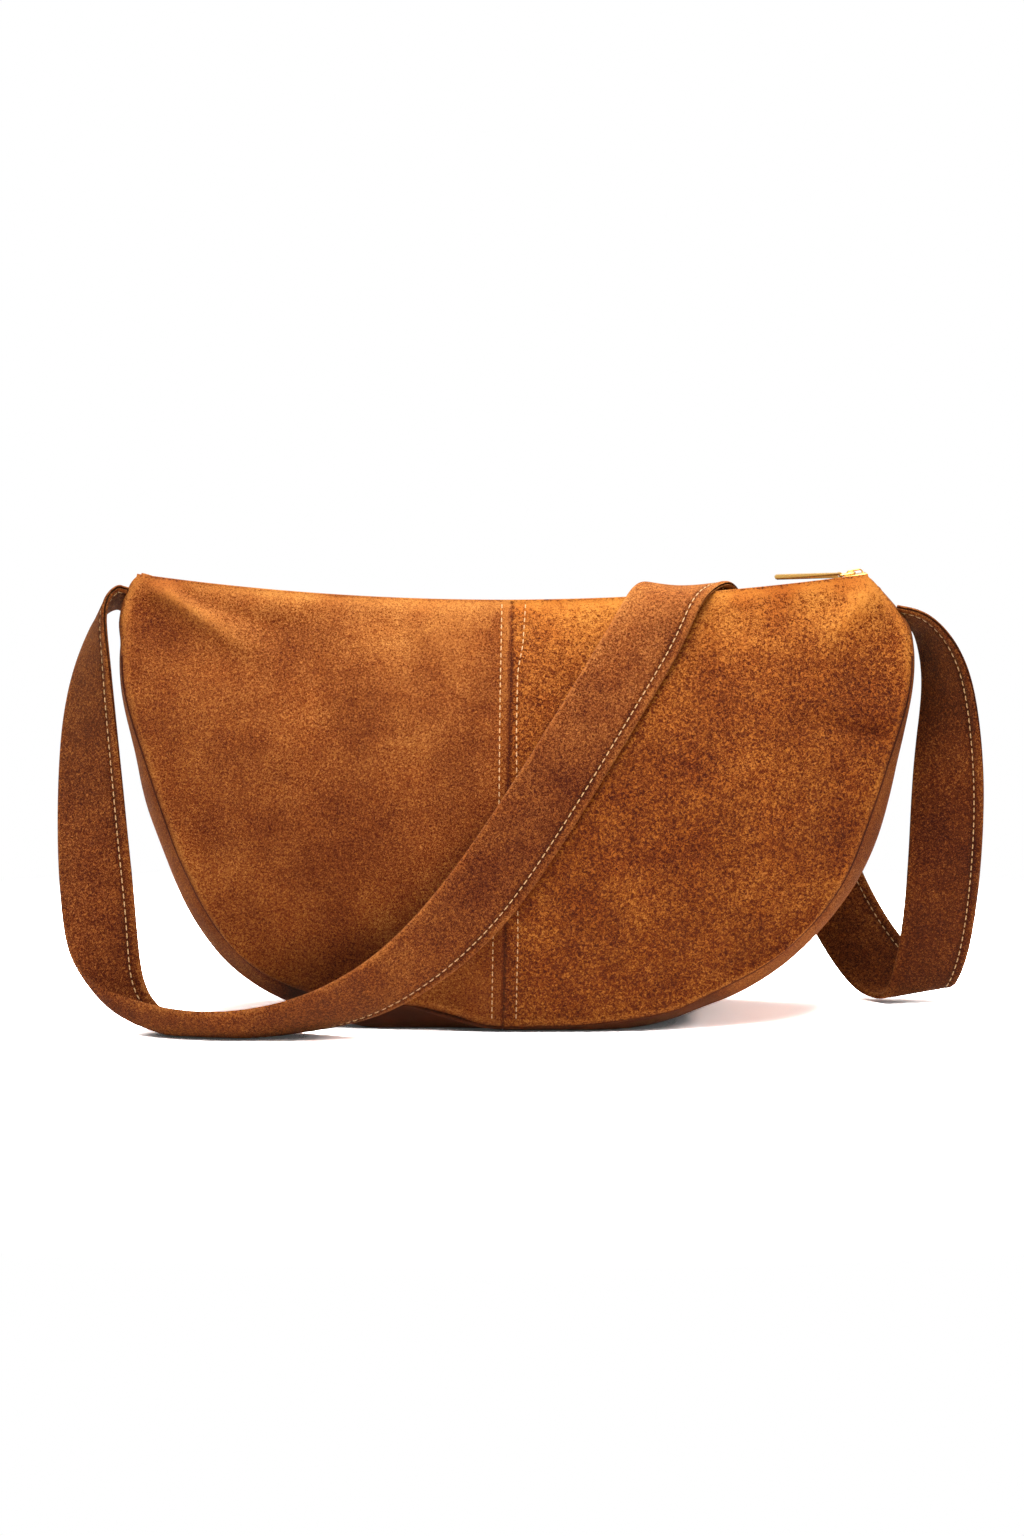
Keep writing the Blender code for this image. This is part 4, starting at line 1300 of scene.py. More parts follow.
STITCH_FACES = (8, 6)  # Round the thread and along it.
STITCH_FULLNESS = 1.6  # How much the ball's ends are filled out, at most.
STITCH_DIVE = 0.9  # How deep the ends dive, in thread radii.


def thread_stitch(length: float, radius: float) -> Piece:
    """One stitch: a short thread that dives at both ends, along X about the origin.

    Args:
        length: the stitch's length in metres.
        radius: the thread's radius in metres.

    Returns:
        The stitch.
    """
    bpy.ops.object.select_all(action="DESELECT")
    round_faces, rings = STITCH_FACES
    bpy.ops.mesh.primitive_uv_sphere_add(segments=round_faces, ring_count=rings, radius=1.0)
    stitch = bpy.context.object
    for vertex in stitch.data.vertices:
        x = vertex.co.x
        full = math.sqrt(max(0.0, 1.0 - x ** 4)) / max(1e-6, math.sqrt(max(1e-9, 1.0 - x * x)))
        full = min(STITCH_FULLNESS, full)
        vertex.co = Vector((
            x * length / 2,
            vertex.co.y * radius * full,
            (vertex.co.z * full - STITCH_DIVE * x * x) * radius,
        ))
    return stitch


def stitch_frame(place: Vector, way: Vector, off: Vector) -> Matrix:
    """A frame with X along the seam and Z off the surface.

    Args:
        place: the stitch's middle.
        way: the direction of the seam.
        off: the direction off the surface.

    Returns:
        The frame.
    """
    x = way.normalized()
    y = off.cross(x).normalized()
    z = x.cross(y)
    turn = Matrix((x, y, z)).transposed().to_4x4()
    return Matrix.Translation(place) @ turn


@dataclass(frozen=True)
class CentreStitching:
    """Topstitching on both sides of the centre seams."""
    lines: SeamLines = SeamLines()
    foot: float = 0.0065
    head: float = 0.2035
    ray_start: float = 0.3
    stand_off: float = 0.00008

    def frames(self, panels: Sequence[Piece], face: Face) -> list[Matrix]:
        """Find the stitches' places on the dressed panels.

        Args:
            panels: the two panel halves of the face.
            face: which face of the bag.

        Returns:
            One frame for each stitch.
        """
        trees = []
        for panel in panels:
            verts = [v.co.copy() for v in panel.data.vertices]
            trees.append(BVHTree.FromPolygons(verts, [tuple(p.vertices) for p in panel.data.polygons]))
        frames = []
        for side in (-1, 1):
            height = self.foot
            while height < self.head:
                spots = []
                for z in (height, height + self.lines.pitch * MM):
                    x = self.lines.x_at(side, z)
                    start = Vector((x, -face.value * self.ray_start, z))
                    hits = [tree.ray_cast(start, Vector((0.0, face.value, 0.0))) for tree in trees]
                    hits = [hit for hit in hits if hit[0] is not None]
                    if hits:
                        spots.append(min(hits, key=lambda hit: hit[3]))
                if len(spots) == 2:
                    way = spots[1][0] - spots[0][0]
                    off = spots[0][1] if spots[0][1].y * face.value < 0 else -spots[0][1]
                    middle = (spots[0][0] + spots[1][0]) / 2
                    frames.append(stitch_frame(middle + off * self.stand_off, way, off))
                    height += self.lines.pitch * MM * abs(way.z) / max(way.length, 1e-9)
                else:
                    height += self.lines.pitch * MM
        return frames

    def build(self, panels: dict[Face, list[Piece]], thread: Material) -> None:
        """Sew both faces.

        Args:
            panels: the two panel halves of each face.
            thread: the thread's material.
        """
        for face, halves in panels.items():
            stitch = thread_stitch(self.lines.length * MM, self.lines.radius * MM)
            frames = self.frames(halves, face)
            piece = repeated(f"centre_stitching_{face.name.lower()}", stitch, frames)
            settle(piece, Body.BAG, thread)


# Shoulder strap

@dataclass(frozen=True)
class StrapRoute:
    """The strap's way, in shares of the bag's half length, half depth and height.

    Each station has its centre and the direction of its stitched edge.
    """
    width: float = 0.036
    thickness: float = 0.003
    clearance: float = 0.0005
    back_drop: float = 0.0020
    root_heights: tuple = (0.2045, 0.1955)
    root_edge: tuple = (0.92, 0.39)
    front: tuple = (
        ((-1.006, -0.010, 0.946), (0.15, -0.92, 0.35)), ((-1.040, -0.041, 0.924), (0.21, -0.92, 0.33)),
        ((-1.056, -0.082, 0.877), (0.32, -0.90, 0.31)), ((-1.065, -0.122, 0.817), (0.51, -0.83, 0.22)),
        ((-1.071, -0.173, 0.746), (0.66, -0.73, 0.15)), ((-1.074, -0.255, 0.651), (0.81, -0.57, 0.10)),
        ((-1.068, -0.388, 0.521), (0.92, -0.38, 0.08)), ((-1.058, -0.561, 0.392), (0.98, -0.19, 0.04)),
        ((-1.040, -0.735, 0.266), (1.00, 0.04, -0.03)), ((-1.025, -0.837, 0.186), (0.96, 0.18, -0.18)),
        ((-1.000, -0.898, 0.127), (0.91, 0.28, -0.29)), ((-0.955, -0.979, 0.088), (0.85, 0.39, -0.35)),
        ((-0.900, -1.100, 0.066), (0.75, 0.52, -0.41)), ((-0.845, -1.214, 0.052), (0.64, 0.63, -0.44)),
        ((-0.788, -1.300, 0.044), (0.55, 0.71, -0.45)), ((-0.718, -1.347, 0.041), (0.51, 0.74, -0.44)),
        ((-0.620, -1.385, 0.047), (0.50, 0.74, -0.45)), ((-0.515, -1.415, 0.064), (0.52, 0.71, -0.48)),
        ((-0.415, -1.430, 0.093), (0.56, 0.64, -0.52)), ((-0.320, -1.430, 0.135), (0.61, 0.55, -0.57)),
        ((-0.228, -1.400, 0.195), (0.66, 0.43, -0.61)), ((-0.138, -1.340, 0.271), (0.72, 0.22, -0.65)),
        ((-0.047, -1.240, 0.368), (0.77, 0.00, -0.64)), ((0.054, -1.140, 0.502), (0.78, -0.12, -0.62)),
        ((0.157, -0.950, 0.643), (0.79, -0.22, -0.58)), ((0.244, -0.721, 0.765), (0.81, -0.26, -0.53)),
        ((0.307, -0.530, 0.850), (0.84, -0.27, -0.46)), ((0.347, -0.385, 0.911), (0.87, -0.30, -0.38)),
    )
    ridge: tuple = (
        ((0.380, -1.10), (0.84, -0.48, -0.22)), ((0.421, 0.00), (0.80, -0.60, 0.00)),
        ((0.462, 1.10), (0.83, -0.50, 0.24)),
    )
    back: tuple = (
        ((0.490, 0.400, 0.908), (0.87, -0.24, 0.43)), ((0.543, 0.660, 0.803), (0.87, -0.20, 0.44)),
        ((0.619, 0.950, 0.651), (0.88, -0.10, 0.45)), ((0.694, 1.160, 0.505), (0.88, 0.00, 0.46)),
        ((0.781, 1.220, 0.332), (0.87, 0.10, 0.47)), ((0.827, 1.170, 0.242), (0.85, 0.12, 0.50)),
        ((0.871, 1.065, 0.168), (0.82, 0.16, 0.54)), ((0.911, 0.918, 0.113), (0.80, 0.22, 0.55)),
        ((0.955, 0.775, 0.066), (0.84, 0.25, 0.48)), ((0.998, 0.660, 0.036), (0.93, 0.22, 0.28)),
        ((1.028, 0.545, 0.025), (0.97, 0.17, 0.14)), ((1.044, 0.430, 0.035), (0.98, 0.14, 0.10)),
        ((1.056, 0.350, 0.070), (0.98, 0.12, 0.07)), ((1.072, 0.295, 0.126), (0.99, 0.10, 0.02)),
        ((1.086, 0.214, 0.234), (0.99, 0.07, -0.05)), ((1.092, 0.092, 0.376), (1.00, 0.00, -0.03)),
        ((1.093, 0.031, 0.509), (0.96, -0.27, 0.06)), ((1.091, 0.031, 0.639), (0.78, -0.60, 0.16)),
        ((1.087, 0.031, 0.741), (0.56, -0.78, 0.27)), ((1.065, 0.020, 0.820), (0.36, -0.88, 0.30)),
        ((1.030, 0.000, 0.872), (0.14, -0.93, 0.32)), ((1.004, 0.000, 0.891), (-0.05, -0.94, 0.34)),
    )


def smooth_route(points: Sequence[Vector], steps: int) -> list[Vector]:
    """Points of a Catmull-Rom curve through the given ones.

    Args:
        points: the points that the curve passes.
        steps: how many parts each span is cut into.

    Returns:
        The curve's points.
    """
    route = []
    last = len(points) - 1
    for index in range(last):
        a, b = points[max(0, index - 1)], points[index]
        c, d = points[index + 1], points[min(last, index + 2)]
        for step in range(steps):
            t = step / steps
            route.append((b * 2.0 + (c - a) * t + (a * 2.0 - b * 5.0 + c * 4.0 - d) * t ** 2
                          + (b * 3.0 - a - c * 3.0 + d) * t ** 3) * 0.5)
    route.append(points[-1])
    return route


@dataclass(frozen=True)
class StrapWearAndPaintedLight:
    """Where the strap's nap is rubbed or pressed, and where highlight and shade are painted on it, in
    metres. A mark's last value is how much.
    """
    # Edges: rubbed nap and a painted rim highlight.
    edge: tuple = (0.0035, 0.5)
    # Crown: a painted highlight on the strap's top, over the mouth.
    crown_height: tuple = (0.180, 0.030)
    crown_half_widths: float = 9.0
    crown_fade: float = 0.03
    crown_highlight: float = 0.7
    # Slit: painted shade in the gap between the layers at the open edge.
    slit: tuple = (0.002, 0.0004, 0.9)
    # Legs: painted shade down both legs, deeper on the right.
    right_leg: tuple = (0.18, 0.02, 0.35)
    left_leg: tuple = (0.17, 0.02, 0.18)
    # Stitches: nap pressed along the row.
    stitches: tuple = (0.0016, 0.6)


@dataclass(frozen=True)
class ShoulderStrap:
    """A band of suede folded along one edge and stitched along the other, in metres."""
    route: StrapRoute = StrapRoute()
    wear_and_painted_light: StrapWearAndPaintedLight = StrapWearAndPaintedLight()
    station_steps: int = 2
    smoothings: int = 2
    rest_grid: tuple = (26, 22)
    root_aim: float = 0.01
    fine_steps: int = 4
    sewn_in: float = 0.003
    turn_index: float = 25.5
    flat_index: float = 30.0
    rest_index: float = 31.0
    rest_back: float = 0.011
    # Landing on the floor: how many stations each move spans, and how far it goes.
    turn_spread: float = 5.0
    flat_spread: float = 7.5
    rest_spread: float = 6.0
    roll_shares: tuple = ((0.0, 0.0), (0.5, 1.0), (1.0, 0.2))
    roll: tuple = (0.008, 0.003, 0.009)
    turn_shift: float = 0.003
    fold_sink: float = 0.0023
    stitch_inset: float = 0.0047
    stitch_pitch: float = 0.0038
    stitch_length: float = 0.0029
    stitch_radius: float = 0.00028
    stitch_groove: float = 0.00045
    stitch_rise: float = 0.95
    # Section: steps round the fold and over the face, its puff, the groove and the open edge.
    fold_steps: int = 6
    face_steps: int = 16
    puff: float = 0.00012
    groove_clear: float = 0.002
    groove_places: tuple = (-0.0013, -0.0007, 0.0, 0.0007, 0.0013)
    groove_width: float = 0.0008
    ridge: tuple = (0.0025, 0.0001)
    open_edge: tuple = ((0.0009, 0.0001), (0.0003, 0.0005), (0.0, 0.0009))
    slit: tuple = ((0.0005, 0.0003), (0.0018, 0.0))
    sway: tuple = (21.0, 40.0, 2.0, 0.00022)
    sharp_angle: float = 70.0

    def root(self, side: int, height: float) -> tuple[Vector, Vector]:
        """Where an end is sewn on the gusset, and its edge's direction.

        Args:
            side: -1 left, 1 right.
            height: the height of the seam.

        Returns:
            The end's centre and its edge's direction.
        """
        low = FORM.share_at(height)
        ends = []
        for share in (low, low - self.root_aim, low + self.root_aim):
            off = FORM.gap + self.route.thickness / 3
            point = FORM.on_outline(share) + FORM.outward(share) * off
            ends.append(Vector((side * point.x + FORM.lean(point.z), 0.0, point.z)))
        rise = (ends[2] - ends[1]).normalized()
        forward, up = self.route.root_edge
        return ends[0], Vector((0.0, -forward, 0.0)) + rise * up

    def lift(self, y: float) -> float:
        """Height of the strap's middle layer over the lips."""
        back = smooth_share((y + FORM.mouth_half_depth) / (2.0 * FORM.mouth_half_depth))
        return self.route.thickness / 2 + self.route.clearance - self.route.back_drop * back

    def stations(self) -> list[tuple[Vector, Vector]]:
        """Centre and edge direction of every station from the left end to the right.

        Returns:
            The centre and the edge's direction of each station.
        """
        def placed(shares: tuple) -> Vector:
            """A station's centre from its shares."""
            along, across, up = shares
            return Vector((along * FORM.half_length, across * FORM.base_half_depth, up * FORM.height))

        found = [self.root(-1, self.route.root_heights[0])]
        found += [(placed(centre), Vector(edge)) for centre, edge in self.route.front]
        for (along, across), edge in self.route.ridge:
            x, y = along * FORM.half_length, across * FORM.mouth_half_depth
            found.append((Vector((x, y, FORM.lip(x + FORM.lean_reach) + self.lift(y))), Vector(edge)))
        found += [(placed(centre), Vector(edge)) for centre, edge in self.route.back]
        found.append(self.root(1, self.route.root_heights[1]))
        return found

    def panel_trees(self) -> dict[int, BVHTree]:
        """The plain front and back of the bag, which the strap rests on.

        Returns:
            The front's and the back's surface, to cast rays on.
        """
        trees = {}
        columns, rows = self.rest_grid
        for face in (1, -1):
            points: list[Vector] = []
            faces: list[tuple] = []
            for side in (-1, 1):
                first = len(points)
                for i in range(columns + 1):
                    for j in range(rows + 1):
                        point = FORM.panel(side, i / columns, j / rows)
                        points.append(Vector((point.x, face * point.y, point.z)))
                for i in range(columns):
                    for j in range(rows):
                        a = first + i * (rows + 1) + j
                        faces.append((a, a + 1, a + rows + 2, a + rows + 1))
            trees[face] = BVHTree.FromPolygons(points, faces)
        return trees

    def rested(self, point: Vector, trees: dict[int, BVHTree]) -> Vector:
        """Keep a strap point off the floor, the panels and the lips.

        Args:
            point: a point of the strap.
            trees: the surfaces that it may rest on.

        Returns:
            The point, moved clear of them.
        """
        reach = self.route.thickness / 2 + self.route.clearance
        point = point.copy()
        point.z = max(point.z, self.route.thickness / 2 + FORM.gap)
        lip = FORM.lip(point.x + FORM.lean_reach)
        over = abs(point.y) < FORM.mouth_half_depth + reach and point.z > lip - reach
        if over and abs(point.x + FORM.lean_reach) < FORM.mouth_half_length:
            point.z = max(point.z, lip + self.lift(point.y))
            return point
        face = 1 if point.y < 0.0 else -1
        for drop in (0.0, self.route.thickness):
            start = Vector((point.x, -face * FORM.height, point.z - drop))
            hit = trees[face].ray_cast(start, Vector((0.0, face, 0.0)))[0]
            if hit is not None:
                point.y = -face * max(abs(point.y), abs(hit.y) + reach)
        return point

    def landed(self, point: Vector, share: float, index: int) -> Vector:
        """Roll the strap's middle and stitched edge forward where it lands on the floor.

        Args:
            point: a point of a rail.
            share: 0 at the fold, 0.5 in the middle, 1 at the stitched edge.
            index: the point's number along the rail.

        Returns:
            The moved point.
        """
        turn = math.exp(-(((index - self.turn_index) / self.turn_spread) ** 2))
        flat = math.exp(-(((index - self.flat_index) / self.flat_spread) ** 2))
        rest = math.exp(-(((index - self.rest_index) / self.rest_spread) ** 4))
        back, forth, down = self.roll
        part = dict(self.roll_shares)[share]
        moved = point - Vector((back * turn, forth * flat, down * flat)) * part
        sink = -self.fold_sink * rest if share == 0.0 else 0.0
        moved += Vector((-self.turn_shift * turn, self.rest_back * rest, sink))
        moved.z = max(moved.z, self.route.thickness / 2 + FORM.gap)
        return moved

    def rails(self) -> Rails:
        """Three lines along the strap: its fold, its middle and its stitched edge.

        Returns:
            The points of the three lines.
        """
        trees = self.panel_trees()
        stations = self.stations()
        centres = smooth_route([centre for centre, _ in stations], self.station_steps)
        edges = smooth_route([edge for _, edge in stations], self.station_steps)
        last = len(centres) - 1
        rails = []
        for share in (0.0, 0.5, 1.0):
            line = []
            for index, (centre, edge) in enumerate(zip(centres, edges)):
                point = centre + edge.normalized() * self.route.width * (share - 0.5)
                line.append(point if index in (0, last) else self.rested(point, trees))
            for _ in range(self.smoothings):
                line = [line[0]] + [
                    (a + b * 2.0 + c) / 4.0 for a, b, c in zip(line, line[1:], line[2:])
                ] + [line[-1]]
            ends = [
                a + (a - b).normalized() * self.sewn_in
                for a, b in ((line[0], line[1]), (line[-1], line[-2]))
            ]
            line = [self.landed(point, share, index) for index, point in enumerate(line)]
            rails.append(smooth_route([ends[0]] + line + [ends[1]], self.fine_steps))
        return rails

    def profile(self) -> list[tuple[float, float]]:
        """The folded band's section: across from fold to stitched edge, and off its middle layer.

        Returns:
            The section's points, in order round it.
        """
        half_width, half = self.route.width / 2, self.route.thickness / 2
        seam = half_width - self.stitch_inset
        upper = []
        for step in range(self.fold_steps + 1):
            angle = math.radians(180.0 - 90.0 * step / self.fold_steps)
            upper.append((-half_width + half + half * math.cos(angle), half * math.sin(angle)))
        for step in range(1, self.face_steps + 1):
            run = seam - self.groove_clear + half_width - half
            puff = self.puff * math.sin(math.pi * step / self.face_steps)
            upper.append((-half_width + half + run * step / self.face_steps, half + puff))
        for away in self.groove_places:
            sunk = self.stitch_groove * math.exp(-((away / self.groove_width) ** 2))
            upper.append((seam + away, half - sunk))
        upper.append((seam + self.ridge[0], half + self.ridge[1]))
        upper += [(half_width - inset, half - down) for inset, down in self.open_edge]
        upper += [(half_width - inset, off) for inset, off in self.slit]
        lower = [(across, -off) for across, off in reversed(upper[1:-1])]
        return upper + lower

    def surface(self, rails: Rails, index: int, across: float, off: float) -> Vector:
        """A point of the strap at a station, across it and off its middle layer.

        Args:
            rails: its three lines.
            index: the station.
            across: the place across it, from the middle.
            off: the height off the middle layer.

        Returns:
            The point.
        """
        a, b, c = (line[index] for line in rails)
        share = across / self.route.width * 2.0
        place = (a * (share * (share - 1.0) / 2.0) + b * (1.0 - share * share)
                 + c * (share * (share + 1.0) / 2.0))
        place.z = max(place.z, self.route.thickness / 2 + FORM.gap)
        return place + self.normal(rails, index) * off

    def normal(self, rails: Rails, index: int) -> Vector:
        """The direction off the strap's first face at a station.

        Args:
            rails: its three lines.
            index: the station.

        Returns:
            The direction, of length 1.
        """
        last = len(rails[1]) - 1
        way = rails[1][min(last, index + 1)] - rails[1][max(0, index - 1)]
        return way.cross(rails[2][index] - rails[0][index]).normalized()

    def worn(self, point: Vector, across: float, off: float, seam: float) -> tuple[float, float]:
        """How much the strap's nap is rubbed and pressed, and how much highlight and shade are painted
        on it.

        Args:
            point: the point of the strap.
            across: its place across the strap, from the middle.
            off: its height off the middle layer.
            seam: the row of stitches' place across the strap.

        Returns:
            The point's rub and painted highlight, and its press and painted shade.
        """
        wear_and_painted_light, half_width = self.wear_and_painted_light, self.route.width / 2
        # Rubbed nap and a painted rim highlight at the edges; a painted highlight on the crown over
        # the mouth.
        edge = max(0.0, 1.0 - (half_width - abs(across)) / wear_and_painted_light.edge[0])
        height, rise = wear_and_painted_light.crown_height
        crown = smooth_share((point.z - height) / rise)
        crown *= smooth_share((half_width * wear_and_painted_light.crown_half_widths - abs(point.x)) / wear_and_painted_light.crown_fade)
        # Painted shade in the slit between the layers.
        inset, reach, darkening = wear_and_painted_light.slit
        pressed = darkening if across > half_width - inset and abs(off) < reach else 0.0
        # Painted shade down the legs.
        (right, right_run, right_leg_shade), (left, left_run, left_leg_shade) = wear_and_painted_light.right_leg, wear_and_painted_light.left_leg
        pressed += (right_leg_shade * smooth_share((point.x - right) / right_run)
                    + left_leg_shade * smooth_share((-point.x - left) / left_run))
        # Nap pressed along the stitches.
        width, darkening = wear_and_painted_light.stitches
        pressed += darkening * math.exp(-(((across - seam) / width) ** 2))
        return wear_and_painted_light.edge[1] * edge + wear_and_painted_light.crown_highlight * crown, pressed

    def band(self, rails: Rails) -> Piece:
        """The strap's own closed mesh, lofted from its section.

        Args:
            rails: its three lines.

        Returns:
            The band.
        """
        section = self.profile()
        count = len(section)
        stations = len(rails[1])
        points, faces, rub, pressed = [], [], [], []
        half_width = self.route.width / 2
        seam = half_width - self.stitch_inset
        along, over, row, rise = self.sway
        for index in range(stations):
            for across, off in section:
                sway = noise.noise(Vector((index / along, across * over, row))) * rise
                points.append(self.surface(rails, index, across, off + sway))
                marks = self.worn(points[-1], across, off, seam)
                rub.append(marks[0])
                pressed.append(marks[1])
        for index in range(stations - 1):
            for spot in range(count):
                a = index * count + spot
                b = index * count + (spot + 1) % count
                faces.append((a, b, b + count, a + count))
        faces.append(tuple(range(count - 1, -1, -1)))
        faces.append(tuple((stations - 1) * count + spot for spot in range(count)))
        mesh = bpy.data.meshes.new("shoulder_strap")
        mesh.from_pydata(points, [], faces)
        band = bpy.data.objects.new("shoulder_strap", mesh)
        bpy.context.scene.collection.objects.link(band)
        # Marks of rubbed nap with painted highlight, and of pressed nap with painted shade.
        for title, values in (("rub", rub), ("pressed", pressed)):
            band.data.attributes.new(title, "FLOAT", "POINT").data.foreach_set("value", values)
        select_only(band)
        bpy.ops.object.mode_set(mode="EDIT")
        bpy.ops.mesh.select_all(action="SELECT")
        bpy.ops.mesh.normals_make_consistent(inside=False)
        bpy.ops.object.mode_set(mode="OBJECT")
        soften(band, self.sharp_angle)
        return band

    def threads(self, rails: Rails) -> Piece:
        """The row of stitches along the open edge, seen on both faces.

        Args:
            rails: its three lines.

        Returns:
            All stitches as one piece.
        """
        seam = self.route.width / 2 - self.stitch_inset
        line = [self.surface(rails, index, seam, 0.0) for index in range(len(rails[1]))]
        frames = []
        travelled, wanted = 0.0, self.stitch_pitch
        for index in range(len(line) - 1):
            step = (line[index + 1] - line[index]).length
            while wanted <= travelled + step:
                share = (wanted - travelled) / step
                place = line[index].lerp(line[index + 1], share)
                off = self.normal(rails, index).lerp(self.normal(rails, index + 1), share).normalized()
                way = line[index + 1] - line[index]
                rise = self.route.thickness / 2 - self.stitch_groove
                rise += self.stitch_radius * self.stitch_rise
                frames.append(stitch_frame(place + off * rise, way, off))
                frames.append(stitch_frame(place - off * rise, way, -off))
                wanted += self.stitch_pitch
            travelled += step
        stitch = thread_stitch(self.stitch_length, self.stitch_radius)
        return repeated("strap_stitching", stitch, frames)

    def build(self, suede: Material, thread: Material) -> None:
        """Build the strap and its stitching.

        Args:
            suede: the strap's material.
            thread: the thread's material.
        """
        rails = self.rails()
        settle(self.band(rails), Body.BAG, suede, ["strap"], "strap_suede")
        settle(self.threads(rails), Body.BAG, thread)


# Zip

@dataclass(frozen=True)
class ZipFastener:
    """The curved metal zip: two tapes, their teeth and their stops, in metres."""
    mid_height: float = 0.2002
    end_drop: float = 0.0025
    pitch: float = 0.0038
    tooth_half_height: float = 0.0012
    tooth_reach: float = 0.0027
    tooth_nose: float = 0.0007
    tape_bite: float = 0.0018
    tape_drop: float = 0.008
    stop_length: float = 0.0018
    slider_length: float = 0.011
    tape_setback: float = 1.25
    tape_bend: float = 0.0010
    tape_grid: tuple = (150, 26)
    tooth_clearance: float = 0.00025
    nose_height_share: float = 0.72
    nose_length_share: float = 0.8
    tooth_rounding: float = 0.00022
    tooth_faces: int = 2
    stop_rounding: float = 0.00018
    stop_faces: int = 2

    @functools.cached_property
    def radius(self) -> float:
        """Radius of the chain's arc."""
        rise = FORM.height - self.end_drop - self.mid_height
        return (FORM.mouth_half_length ** 2 + rise ** 2) / (2.0 * rise)

    def chain(self, distance: float) -> Matrix:
        """Frame of the chain at a distance: X along, Y to the back, Z off the bag.

        Args:
            distance: the way from the chain's middle, to the right.

        Returns:
            The frame.
        """
        angle = distance / self.radius
        centre = Vector((-FORM.lean_reach, 0.0, self.mid_height + self.radius))
        place = centre + Vector((math.sin(angle), 0.0, -math.cos(angle))) * self.radius
        return Matrix.Translation(place) @ Matrix.Rotation(-angle, 4, "Y")

    def tape(self, face: Face) -> Piece:
        """One tape: flat out from the chain, then turned down inside the panel.

        Args:
            face: front or back.

        Returns:
            The tape.
        """
        inner = self.tooth_reach - self.tape_bite
        setback = (FORM.suede + FORM.gap + FORM.tape) * self.tape_setback
        bend = self.tape_bend

        def place(u: float, v: float) -> SoftPoint:
            """A tape point, along the chain and from the chain outward.

            Args:
                u: share along the chain.
                v: share from the chain outward.

            Returns:
                The point, with zero rub and highlight and zero press and shade.
            """
            level = self.chain((2.0 * u - 1.0) * FORM.mouth_half_length).translation
            fold = FORM.depth(level.x + FORM.lean_reach, level.z) - setback
            flat = fold - inner - bend
            path = v * (flat + bend * math.pi / 2 + self.tape_drop - bend)
            if path < flat:
                across, drop = inner + path, 0.0
            elif path < flat + bend * math.pi / 2:
                angle = (path - flat) / bend
                across, drop = inner + flat + bend * math.sin(angle), bend * (1.0 - math.cos(angle))
            else:
                drop = bend + path - flat - bend * math.pi / 2
                across = FORM.depth(level.x + FORM.lean_reach, level.z - drop) - setback
            return Vector((level.x, -face.value * across, level.z - drop)), 0.0, 0.0

        return walled_sheet(
            f"zip_tape_{face.name.lower()}_cloth", self.tape_grid, place, FORM.tape, 0.0)

    def tooth(self, face: Face) -> Piece:
        """One crimped tooth about the chain's centre, its nose and dimple past the centre line.

        Args:
            face: front or back.

        Returns:
            The tooth.
        """
        length = self.pitch / 2 - self.tooth_clearance
        bpy.ops.object.select_all(action="DESELECT")
        bpy.ops.mesh.primitive_cube_add(size=1.0)
        tooth = bpy.context.object
        low, high = -self.tooth_nose, self.tooth_reach
        for vertex in tooth.data.vertices:
            nose = vertex.co.y < 0.0
            across = low if nose else high
            vertex.co = Vector((
                vertex.co.x * length * (self.nose_length_share if nose else 1.0),
                -face.value * across,
                vertex.co.z * 2.0 * self.tooth_half_height * (self.nose_height_share if nose else 1.0),
            ))
        select_only(tooth)
        bpy.ops.object.mode_set(mode="EDIT")
        bpy.ops.mesh.select_all(action="SELECT")
        bpy.ops.mesh.normals_make_consistent(inside=False)
        bpy.ops.mesh.bevel(offset=self.tooth_rounding, segments=self.tooth_faces, affect="EDGES")
        bpy.ops.object.mode_set(mode="OBJECT")
        return tooth

    def teeth(self, face: Face) -> Piece:
        """The row of teeth of one tape.

        Args:
            face: front or back.

        Returns:
            The row as one piece.
        """
        length = self.pitch / 2 - FORM.gap
        end = FORM.mouth_half_length - self.stop_length - FORM.gap
        distance = -end + (0.0 if face is Face.FRONT else self.pitch / 2) + length / 2
        frames = []
        while distance + length / 2 <= end:
            frames.append(self.chain(distance))
            distance += self.pitch
        return repeated(f"zip_teeth_{face.name.lower()}", self.tooth(face), frames)

    def build(self, cloth: Material, metal: Material) -> None:
        """Build the tapes, the teeth and the stops.

        Args:
            cloth: the tapes' material.
            metal: the teeth's material.
        """
        for face in Face:
            node = f"zip_tape_{face.name.lower()}"
            settle(self.tape(face), Body.BAG, cloth, [node], "zip_tape")
            settle(self.teeth(face), Body.BAG, metal, (), "brass")
        for node in ("zip_top_stop_front", "zip_top_stop_back", "zip_bottom_stop"):
            piece = refined(node, node + "_metal", self.stop_rounding, self.stop_faces)
            settle(piece, Body.BAG, metal, [node], "brass")


MERGE_REACH = 0.000002  # Metres: closer points of a CAD shape are one point.
FLAT_ANGLE = 2.0  # Degrees: faces that meet flatter than this are one face.
ROUNDED_ANGLE = 35.0  # Degrees: sharper edges are rounded.
METAL_ANGLE = 40.0  # Degrees: sharper edges of metal stay sharp.


